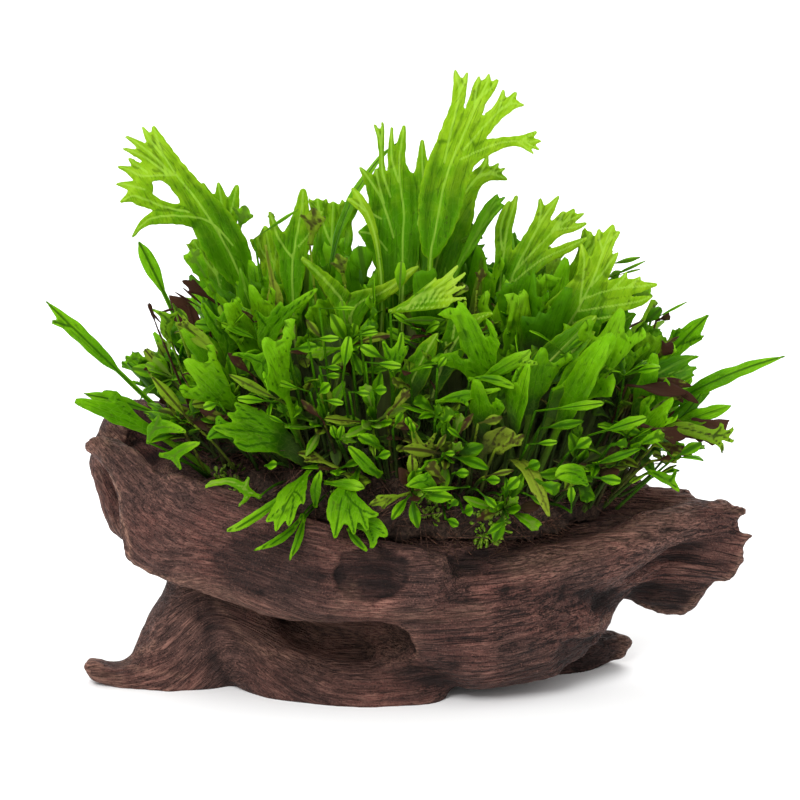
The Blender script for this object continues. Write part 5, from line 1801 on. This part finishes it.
# kinds of leaf that fill the clump. The forked ones: length, width, the stalk's share, where they are
# widest, and lobes as (parent, place, angle, reach, width, prongs)
forkedKinds = {
    "forkTwo": (50, 5.0, 0.45, 1.3, [(0, 0.60, -28, 18, 3.3, 1), (0, 0.66, 26, 17, 3.1, 1)]),
    "forkThree": (54, 5.6, 0.4, 1.3, [
        (0, 0.56, -38, 17, 3.3, 1), (0, 0.70, -14, 16, 3.0, 1), (0, 0.62, 30, 18, 3.4, 1)]),
    "forkFan": (56, 6.4, 0.42, 1.3, [
        (0, 0.58, -44, 18, 3.5, 2), (0, 0.68, -18, 17, 3.3, 2), (0, 0.70, 14, 17, 3.3, 2),
        (0, 0.60, 40, 18, 3.5, 1)]),
    "lanceLong": (56, 6.2, 0.35, 1.1, []),
    "lanceSide": (48, 5.2, 0.38, 1.1, [(0, 0.58, 34, 15, 3.0, 1)]),
    "lanceLeft": (48, 5.2, 0.38, 1.1, [(0, 0.56, -34, 15, 3.0, 1)]),
    "toothed": (50, 6.4, 0.38, 1.1, [
        (0, 0.5, -42, 8, 2.6, 1), (0, 0.6, 40, 8, 2.6, 1), (0, 0.72, -36, 9, 2.6, 1),
        (0, 0.82, 32, 9, 2.6, 1)]),
    "miniTwo": (20, 4.2, 0.25, 1.3, [(0, 0.7, -34, 6, 2.6, 1), (0, 0.72, 32, 6, 2.6, 1)]),
    "miniThree": (22, 5, 0.25, 1.3, [
        (0, 0.55, -46, 7, 2.6, 1), (0, 0.8, -16, 6, 2.6, 1), (0, 0.6, 40, 7, 2.8, 1)]),
}
# the plain ones, as stripLeaf takes them
plainKinds = {
    "lance": (26, 4.6, 0.24, 1.15, 9, 4, 0.4, 0.7), "spoon": (16, 4.4, 0.32, 1.7, 9, 4, 0.35, 0.55),
    "disc": (10, 5.2, 0.20, 1.25, 8, 4, 0.35, 0.5), "speck": (10, 5.2, 0.20, 1.25, 6, 2, 0.35, 0.5),
    "strip": (20, 4.0, 0.26, 1.3, 11, 4, 0.4, 0.65), "broad": (60, 12, 0.05, 0.85, 11, 4, 0.5, 0.85),
}
flatKinds = {key: stripLeaf(*row) for key, row in plainKinds.items()}


def makeForkedKinds(cell):
    # a new mesh for each forked kind; the mini ones keep a cell of their own
    for seed, (key, (length, wide, stalk, peak, lobes)) in enumerate(forkedKinds.items(), 1):
        spec = dict(stalk=stalk, wide=wide, peak=peak, lobes=lobes)
        ribbons, teeth = bladeRibbons(spec, length, np.random.default_rng(seed), 0.8)
        flatKinds[key] = flatLeaf(ribbons, teeth, leafSizes["miniCell"] if key.startswith("mini") else cell)


def layKind(stack, kind, curve, facing, rng, tint, ripe, old, wide=None, turn=24, twist=30, cup=2.0):
    # one leaf of a kind, stretched along its curve
    flat = flatKinds[kind]
    scale = curveLength(curve) / flat["length"]
    share = rng.uniform(0.85, 1.2) if wide is None else np.clip(wide / (np.ptp(flat["v"]) * scale), 0.4, 2.2)
    shape = {**flat, "v": flat["v"] * share}
    points = layLeaf(shape, curve, facing, rng.uniform(-turn, turn), rng.uniform(-twist, twist), cup=cup,
                     folds=0.8, phase=rng.uniform(0, 6), scale=scale)
    stack.add(shape, points, tint, ripe, scale, rng.uniform(0, 400), old)


def growDrawn(stacks):
    rng = np.random.default_rng(61)
    for key, y0, y1, tint, ripe, old, fingers in drawnLeaves:
        start = picturePoint(*fingers[0][0][:2], y0)
        end = picturePoint(*fingers[0][-1][:2], y1)
        curve = bendLine(start, (start + end) / 2 + toEye * 1.5, end, 40)
        flat = flatLeaf(drawnRibbons(dict(drawn=fingers), curve), [], leafSizes["tinyCell"])
        points = layLeaf(flat, keepClear(curve, 1.6), toEye, rng.uniform(-12, 12), rng.uniform(-10, 10),
                         cup=1.2, folds=0.8, phase=rng.uniform(0, 6))
        stacks[key].add(flat, points, tint, ripe, 1.0, rng.uniform(0, 400), old)
        stemTo(stacks[key], start, old)
    for key, kind, base, tip, y0, y1, wide, tint, old in plainLeaves:
        start, end = picturePoint(*base, y0), picturePoint(*tip, y1)
        curve = bendLine(start, (start + end) / 2 + toEye * 0.12 * np.linalg.norm(end - start), end, 16)
        layKind(stacks[key], kind, keepClear(curve, clump["room"]), toEye + rng.normal(0, 0.15, 3), rng, tint,
                1.0 if key == "small" else 0.6, old, wide, 16, 16)
        stemTo(stacks[key], start, old)


def agedTint(rng):
    # tint and age of a small leaf: most are fresh, some yellow and spotted, a few brown
    draw = rng.random()
    if draw < clump["freshShare"]:
        return rng.uniform(0.15, 0.95), rng.uniform(0.0, 0.12)
    if draw < clump["yellowShare"]:
        return rng.uniform(0.3, 0.8), rng.uniform(0.30, 0.50)
    return 0.4, rng.uniform(0.65, 1.0)


def growMedium(stack, count, seed, low, front, tint):
    # fans of medium fronds that rise from the mat; few stand at the front of the middle
    rng = np.random.default_rng(seed)
    kinds = clump["mediumKinds"]
    made = 0
    while made < count:
        root = matPoint(rng)
        if root[1] < front or (-36 < root[0] < 18 and root[1] < -2):
            continue
        length = np.clip((clumpTop(root[0]) - root[2]) * rng.uniform(low, 1.0), *clump["mediumLong"])
        lean = [share * place + rng.normal(0, vary)
                for share, place, vary in zip(clump["mediumLean"], root, clump["mediumVary"])]
        lean = np.array([*lean, 1.0])
        lean /= np.linalg.norm(lean)
        facing = np.array([rng.normal(0, 0.35), -1.0 if root[1] < 4 else 1.0, 0.35])
        bend = root + lean * length * 0.58
        onward = lean + np.array([0, 0, -1.0]) * rng.uniform(0.05, 0.4) + rng.normal(0, 0.08, 3)
        tip = bend + onward / np.linalg.norm(onward) * length * 0.46
        bend[1], tip[1] = min(bend[1], clump["back"]), min(tip[1], clump["back"])
        if max(tip[2], bend[2]) > clumpTop(tip[0]):
            continue
        layKind(stack, kinds[rng.integers(len(kinds))], bendLine(root, bend, tip, 24), facing, rng,
                rng.uniform(*tint), 0.9, rng.choice([0.0, 0.1, 0.35], p=[0.7, 0.2, 0.1]),
                cup=rng.uniform(0.6, 3.0))
        made += 1


def growHeart(stack, count, seed):
    # broad dark blades in the middle, which close the view through the clump
    rng = np.random.default_rng(seed)
    for _ in range(count):
        x, y = rng.uniform(*clump["heartSpan"]), rng.uniform(*clump["heartDepth"])
        root = matNear(np.array([x, y, 90.0]))
        top = clumpTop(x) - rng.uniform(*clump["heartDrop"])
        tip = np.array([x + rng.normal(0, 4), y + rng.normal(0, 2), top])
        bend = (root + tip) / 2 + rng.normal(0, 3, 3)
        layKind(stack, "broad", bendLine(root, bend, tip, 16), (rng.normal(0, 0.3), -1.0, 0.2), rng,
                rng.uniform(0.0, 0.4), 0.2, rng.choice([0.0, 0.3], p=[0.85, 0.15]),
                rng.uniform(*clump["heartWide"]))


def growShoot(stack, crown, rng, leaves):
    # a thin stem from the mat that carries small leaves along its upper half and round its end
    root = matNear(crown)
    path = keepClear(bendLine(root, (root + crown) / 2 + rng.normal(0, 2, 3), crown, 9), 0.3)
    stack.addStem(path, clump["stem"] * np.linspace(1.5, 0.8, 9), rng.uniform(0.2, 0.7))
    forward = path[-1] - path[-3]
    forward /= np.linalg.norm(forward)
    spin = rng.uniform(0, 6)
    for k in range(leaves):
        start = path[-1] if k < leaves - 3 else path[4 + (leaves - k)]
        angle = spin + k * 2.4
        around = np.array([math.cos(angle), math.sin(angle), rng.uniform(-0.1, 0.6)])
        heading = around + forward * rng.uniform(0.1, 0.9)
        heading /= np.linalg.norm(heading)
        long = rng.uniform(*clump["smallLong"])
        bend = start + heading * long * 0.55
        tip = bend + (heading + np.array([0, 0, -rng.uniform(0.0, 0.8)])) * long * 0.45
        curve = bendLine(start, bend, tip, 10)
        if not clearOfWood(curve, 0.8):
            continue
        kind = clump["smallKinds"][rng.integers(len(clump["smallKinds"]))]
        tint, old = agedTint(rng)
        facing = np.array([0.3 * heading[0], 0.5 * heading[1] + (-0.3 if crown[1] < 4 else 0.3), 1.0])
        wide = rng.uniform(*clump["miniWide" if kind.startswith("mini") else "smallWide"])
        layKind(stack, kind, curve, facing + rng.normal(0, 0.25, 3), rng, tint, 1.0, old, wide,
                20, 24, rng.uniform(1.0, 4.0))


def smallStack(stacks, x):
    return stacks["small" if x < clump["parting"] else "smallRight"]


def growShoots(stacks, count, seed):
    rng = np.random.default_rng(seed)
    made = 0
    while made < count:
        x, y = rng.uniform(*clump["shootSpan"]), rng.uniform(*clump["shootDepth"])
        top = clumpTop(x) - clump["shootDrop"]
        low = 84 if abs(y) < 20 else 72
        if x > 40:
            low -= 6
        if top < low or (-38 < x < 22 and y < 4 and rng.random() < 0.5):
            continue
        growShoot(smallStack(stacks, x), np.array([x, y, rng.uniform(low, top)]), rng,
                  int(rng.integers(*clump["shootLeaves"])))
        made += 1


def growRim(stacks, count, seed):
    # shoots that lean out over the back rim and the two ends
    rng = np.random.default_rng(seed)
    for _ in range(count):
        x, y = rng.uniform(*clump["rimSpan"]), rng.uniform(*clump["rimDepth"])
        z = heightAt(clump["rimTop"], x) + rng.uniform(-6, 16)
        growShoot(smallStack(stacks, x), np.array([x, y, z]), rng, int(rng.integers(*clump["rimLeaves"])))


makeForkedKinds(leafSizes["innerCell"])
plantletFaces = sum(growPlantlet(n, s, k) for k, (n, s) in enumerate(plantletSpecs.items()))
report("plantlets")
print("plantlet faces", plantletFaces)
# the loose leaves' pieces: the stack's key, then the piece's name and its finish
loosePieces = {
    "green": ("middleFronds", "frond_green"), "deep": ("innerLeaves", "frond_deep"),
    "heart": ("heartLeaves", "frond_deep"), "old": ("oldLeaves", "frond_green"),
    "small": ("smallLeavesLeft", "frond_green"), "smallRight": ("smallLeavesRight", "frond_green"),
}
stacks = {key: LeafStack() for key in loosePieces}
growDrawn(stacks)
growMedium(stacks["green"], clump["mediumFronds"], seed=11, low=0.62, front=-40, tint=(0.05, 0.75))
growHeart(stacks["heart"], clump["heartLeaves"], seed=16)
growShoots(stacks, clump["shoots"], seed=13)
growRim(stacks, clump["rimShoots"], seed=15)
makeForkedKinds(leafSizes["deepCell"])      # a coarser mesh does for the dark ones inside
growMedium(stacks["deep"], clump["deepFronds"], seed=12, low=0.50, front=-8, tint=(0.0, 0.6))
for key, (name, slot) in loosePieces.items():
    piece = stacks[key].finish(name, leafMaterials[slot])
    wear(piece, slot)
    leafPieces.append(piece)
    print(name, "faces", len(piece.data.polygons))
report("small leaves")


# how open to the sky each leaf point is, from a coarse grid of how much leaf fills the clump

skySizes = dict(cell=3.5, low=(-135, -80, 20), high=(135, 95, 190), fill=0.42, woodShare=4.0, steps=15,
                rings=((12, 5), (38, 7), (68, 4)))      # elevation, directions round it


def skyGrid(pieces, solids):
    cell, low = skySizes["cell"], np.array(skySizes["low"], float)
    shape = tuple(((np.array(skySizes["high"]) - low) / cell).astype(int))
    filled = np.zeros(shape)
    for piece, share in [(p, 0.5) for p in pieces] + [(p, skySizes["woodShare"]) for p in solids]:
        mesh = piece.data
        centres, areas = np.empty(len(mesh.polygons) * 3), np.empty(len(mesh.polygons))
        mesh.polygons.foreach_get("center", centres)
        mesh.polygons.foreach_get("area", areas)
        at = ((centres.reshape(-1, 3) / mm - low) / cell).astype(int)
        inside = ((at >= 0) & (at < shape)).all(1)
        np.add.at(filled, tuple(at[inside].T), areas[inside] / mm ** 2 * share)
    filled /= cell ** 3
    corners = np.stack(np.meshgrid(*[np.arange(n) for n in shape], indexing="ij"), axis=-1).astype(float)
    openness, total = np.zeros(shape), 0.0
    for lift, count in skySizes["rings"]:
        for k in range(count):
            turn = 2 * math.pi * (k + lift / 90) / count
            flatWay = math.cos(math.radians(lift))
            way = np.array([flatWay * math.cos(turn), flatWay * math.sin(turn), math.sin(math.radians(lift))])
            passed = np.zeros(shape)
            for step in range(1, skySizes["steps"] + 1):
                at = np.rint(corners + way * (step + 0.3)).astype(int)
                inside = ((at >= 0) & (at < shape)).all(-1)
                at = np.clip(at, 0, np.array(shape) - 1)
                passed += np.where(inside, filled[at[..., 0], at[..., 1], at[..., 2]], 0.0)
            weight = 0.4 + math.sin(math.radians(lift))
            openness += weight * np.exp(-skySizes["fill"] * cell * passed)
            total += weight
    return openness / total


def readSky(grid, points):
    cell, low = skySizes["cell"], np.array(skySizes["low"], float)
    at = np.clip((points - low) / cell - 0.5, 0, np.array(grid.shape) - 1.001)
    base = at.astype(int)
    part = at - base
    total = np.zeros(len(points))
    for corner, share in cellCorners(part):
        total += share * grid[tuple((base + corner).T)]
    return total


def paintSky(piece):
    values = readSky(skyOpen, readMesh(piece)[0])
    keepField(piece.data, "sky", values)
    return values


skyOpen = skyGrid(leafPieces, [woodPiece])
for piece in leafPieces + [woodPiece]:
    values = paintSky(piece)
    if not piece.name.startswith(("leaf_", "rosette_")):
        print(piece.name, "sky", np.round(np.percentile(values, [5, 25, 50, 75, 95]), 2))
report("sky")


# roots: the dark mat, the creeping rhizomes and loose fibres

rootSizes = dict(
    matVoxel=1.3, matHeight=2.4, matSunk=1.0,
    matRough=[(1.0, 6.5, 21), (0.7, 3.2, 22), (0.4, 1.9, 23)],     # noise layers: (strength, size, seed)
    strands=1500, frontStrands=1500,          # tries, of which some are left out
    strandLong=(5, 19), frontLong=(4, 13), frontFrom=12,       # the front ones start this far out
    strandRadius=0.17, strandPoints=7, rhizomeRadius=2.15,
    mossLong=(1.6, 3.8),
)


def fibreFinish(name, dark, light, shine=0.25):
    paint = Paint(name)
    place = paint.place()
    speck = paint.ramp(paint.noise(place, 900, 3, 0.65), 0.35, 0.68)
    patch = paint.ramp(paint.noise(place, 110, 2, 0.5), 0.35, 0.65)
    colour = paint.mix(speck, dark, light)
    colour = paint.mix(paint.maths("MULTIPLY", patch, 0.6), colour, dark)
    paint.link(colour, paint.shader.inputs["Base Color"])
    paint.link(paint.ramp(speck, 0.0, 1.0, 0.9, 0.7), paint.shader.inputs["Roughness"])
    paint.shader.inputs["Specular IOR Level"].default_value = shine
    paint.link(paint.bump(speck, 0.8, 0.3 * mm), paint.shader.inputs["Normal"])
    return paint.material


def makeMat():
    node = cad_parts["root_mat"]
    mat = addObject("rootMat", node.data.copy())
    addRemesh(mat, rootSizes["matVoxel"])
    addSmooth(mat, 0.5, 4)
    bakeModifiers(mat)
    points, normals = readMesh(mat)
    rough = layeredNoise(points, rootSizes["matRough"])
    points = points + normals * (rough * rootSizes["matHeight"] - rootSizes["matSunk"])[:, None]
    refine(mat, points, fibreFinish("darkRoots", (0.020, 0.012, 0.009), (0.085, 0.047, 0.030)))
    wear(mat, "root_fibre", "root_mat")
    return points, normals


def makeRhizomes():
    finish = fibreFinish("rhizome", (0.020, 0.026, 0.008), (0.085, 0.095, 0.022), 0.4)
    for number, (name, path) in enumerate(rhizomePoints.items()):
        path = smoothRows(path, 1.6)
        along = np.arange(len(path))
        radii = 1 + 0.10 * np.sin(along * 1.9 + number) - 0.08 * np.cos(along * 0.8)
        radii *= rootSizes["rhizomeRadius"]
        radii[[0, -1]] *= 0.45
        radii[[1, -2]] *= 0.8
        points, faces, caps = tubeMesh(path, radii, 12)
        points = points + 0.25 * softNoise(points, 1.6, 30)[:, None]
        piece = meshPiece("creeping_" + name, points, [list(f) for f in faces] + caps, finish)
        wear(piece, "rhizome", "rhizome_" + name)


def makeStrands(matPoints, matNormals):
    rng = np.random.default_rng(41)
    points, faces, paths, count = [], [], [], 0
    size = rootSizes["strandPoints"]
    for _ in range(rootSizes["strands"]):
        root = matPoint(rng) + np.array([0, 0, 1.5])
        spin = rng.uniform(0, 2 * math.pi)
        way = np.array([math.cos(spin), math.sin(spin), rng.uniform(-0.35, 0.55)])
        long = rng.uniform(*rootSizes["strandLong"])
        bend = root + way * long * 0.5 + np.array([0, 0, rng.uniform(0, 3)])
        tip = bend + way * long * 0.5 + rng.normal(0, 2.5, 3) + np.array([0, 0, -rng.uniform(0, 4)])
        path = bendLine(root, bend, tip, size) + rng.normal(0, 0.25, (size, 3))
        if max(depthInWood(path[size // 2]), depthInWood(path[-1])) < 0.5:
            paths.append(path)
    for k in rng.choice(len(matPoints), rootSizes["frontStrands"]):
        # roots that creep over the mat's outer side and hang from it
        start, out = matPoints[k], matNormals[k]
        if abs(start[1]) < rootSizes["frontFrom"]:
            continue
        side = np.cross(out, rng.normal(0, 1, 3))
        long = rng.uniform(*rootSizes["frontLong"])
        bend = start + out * rng.uniform(0.6, 2.2) + side * long * 0.5
        tip = start + side * long + out * rng.uniform(-0.6, 1.6) + np.array([0, 0, -rng.uniform(0, 5)])
        paths.append(keepClear(bendLine(start, bend, tip, size) + rng.normal(0, 0.2, (size, 3)), 0.3))
    for path in paths:
        radii = rootSizes["strandRadius"] * rng.uniform(0.8, 1.6) * np.linspace(1.2, 0.5, 5)
        rings, sides, caps = tubeMesh(path[[0, 1, 3, 5, 6]], radii, 3)
        points.append(rings)
        faces += [[corner + count for corner in face] for face in [*sides, *caps]]
        count += len(rings)
    piece = meshPiece("rootFibres", np.vstack(points), faces,
                      fibreFinish("fineRoots", (0.030, 0.015, 0.010), (0.190, 0.090, 0.055)))
    wear(piece, "root_fibre")
    print("fibre faces", len(faces))


# patches of moss on the mat: (x, seen height, half width, specks)
mossPatches = [(22, 60, 5.5, 120), (27, 65, 3.5, 50), (-16.5, 98, 5, 60), (-61, 73, 5, 70), (3, 64, 4, 40),
               (47, 72, 4, 50), (-26, 74, 4, 40)]


def makeMoss(matPoints, matNormals):
    # upright specks, each a tiny leaf
    rng = np.random.default_rng(71)
    stack = LeafStack()
    seen = seenHeight(matPoints)
    for x, high, spread, count in mossPatches:
        near = np.hypot(matPoints[:, 0] - x, seen - high) < spread
        near = np.nonzero(near & (matNormals @ toEye > 0.1))[0]
        for k in (rng.choice(near, count) if len(near) else []):
            out = matNormals[k] + rng.normal(0, 0.45, 3)
            long = rng.uniform(*rootSizes["mossLong"])
            start = matPoints[k] + matNormals[k] * 0.1
            end = start + out / np.linalg.norm(out) * long
            curve = bendLine(start, (start + end) / 2 + rng.normal(0, 0.3, 3), end, 8)
            layKind(stack, "speck", curve, toEye + rng.normal(0, 0.4, 3), rng,
                    rng.uniform(0.5, 1.2), 0.3, 0.12, rng.uniform(0.7, 1.6))
    piece = stack.finish("mossSpecks", leafMaterials["frond_green"])
    wear(piece, "frond_green")
    paintSky(piece)
    print("moss faces", len(piece.data.polygons))


matSurface = makeMat()
makeRhizomes()
makeStrands(*matSurface)
makeMoss(*matSurface)
report("roots")


# the stage: a pale floor, soft light and the camera at the photo's angle

stageSizes = dict(
    floorRadius=6.0, floorTone=(0.93, 0.93, 0.93),     # metres, colour
    lens=152.0, sensor=36.0, cameraDistance=1.1003,    # mm, mm, metres
    aim=(-0.0059, 0.0, 0.09156),
    sky=(-0.05, 1.0, 0.75, 1.25),
    lampAim=(0, 0, 0.10),
    # name, place, size across in metres and power in watts
    lamps=[("keyLight", (-0.35, -1.0, 1.0), 0.6, 13), ("backLight", (0.25, 0.9, 0.9), 0.8, 9)],
)


def addAreaLight(name, place, aim, size, power):
    lamp = bpy.data.lights.new(name, "AREA")
    lamp.shape = "DISK"
    lamp.size = size
    lamp.energy = power
    obj = addObject(name, lamp)
    obj.location = place
    obj.rotation_euler = (Vector(aim) - Vector(place)).to_track_quat("-Z", "Y").to_euler()


def softWorld():
    # daylight that comes mostly from above
    world = bpy.data.worlds.new("softRoom")
    world.use_nodes = True
    tree = world.node_tree
    split = tree.nodes.new("ShaderNodeSeparateXYZ")
    tree.links.new(tree.nodes.new("ShaderNodeTexCoord").outputs["Generated"], split.inputs[0])
    share = tree.nodes.new("ShaderNodeMapRange")
    tree.links.new(split.outputs["Z"], share.inputs["Value"])
    for socket, value in zip(("From Min", "From Max", "To Min", "To Max"), stageSizes["sky"]):
        share.inputs[socket].default_value = value
    tree.nodes["Background"].inputs["Color"].default_value = (1, 1, 1, 1)
    tree.links.new(share.outputs[0], tree.nodes["Background"].inputs["Strength"])
    bpy.context.scene.world = world


def setStage():
    bm = bmesh.new()
    bmesh.ops.create_circle(bm, cap_ends=True, segments=64, radius=stageSizes["floorRadius"])
    mesh = bpy.data.meshes.new("paleFloor")
    bm.to_mesh(mesh)
    bm.free()
    floor = addObject("paleFloor", mesh)
    paint = Paint("paleFloor")
    paint.shader.inputs["Base Color"].default_value = (*stageSizes["floorTone"], 1)
    paint.shader.inputs["Roughness"].default_value = 0.9
    paint.shader.inputs["Specular IOR Level"].default_value = 0.1
    mesh.materials.append(paint.material)
    softWorld()
    for name, place, size, power in stageSizes["lamps"]:
        addAreaLight(name, place, stageSizes["lampAim"], size, power)
    bpy.context.scene.view_settings.view_transform = "Standard"


def setCamera():
    lens = bpy.data.cameras.new("camera")
    lens.lens = stageSizes["lens"]
    lens.sensor_width = stageSizes["sensor"]
    lens.clip_start = 0.05
    lens.clip_end = 50.0
    camera = addObject("camera", lens)
    look = -Vector(toEye)
    camera.location = Vector(stageSizes["aim"]) - look * stageSizes["cameraDistance"]
    camera.rotation_mode = "QUATERNION"
    camera.rotation_quaternion = look.to_track_quat("-Z", "Y")
    bpy.context.scene.camera = camera


setStage()
setCamera()
bpy.context.view_layer.update()
report("finished")
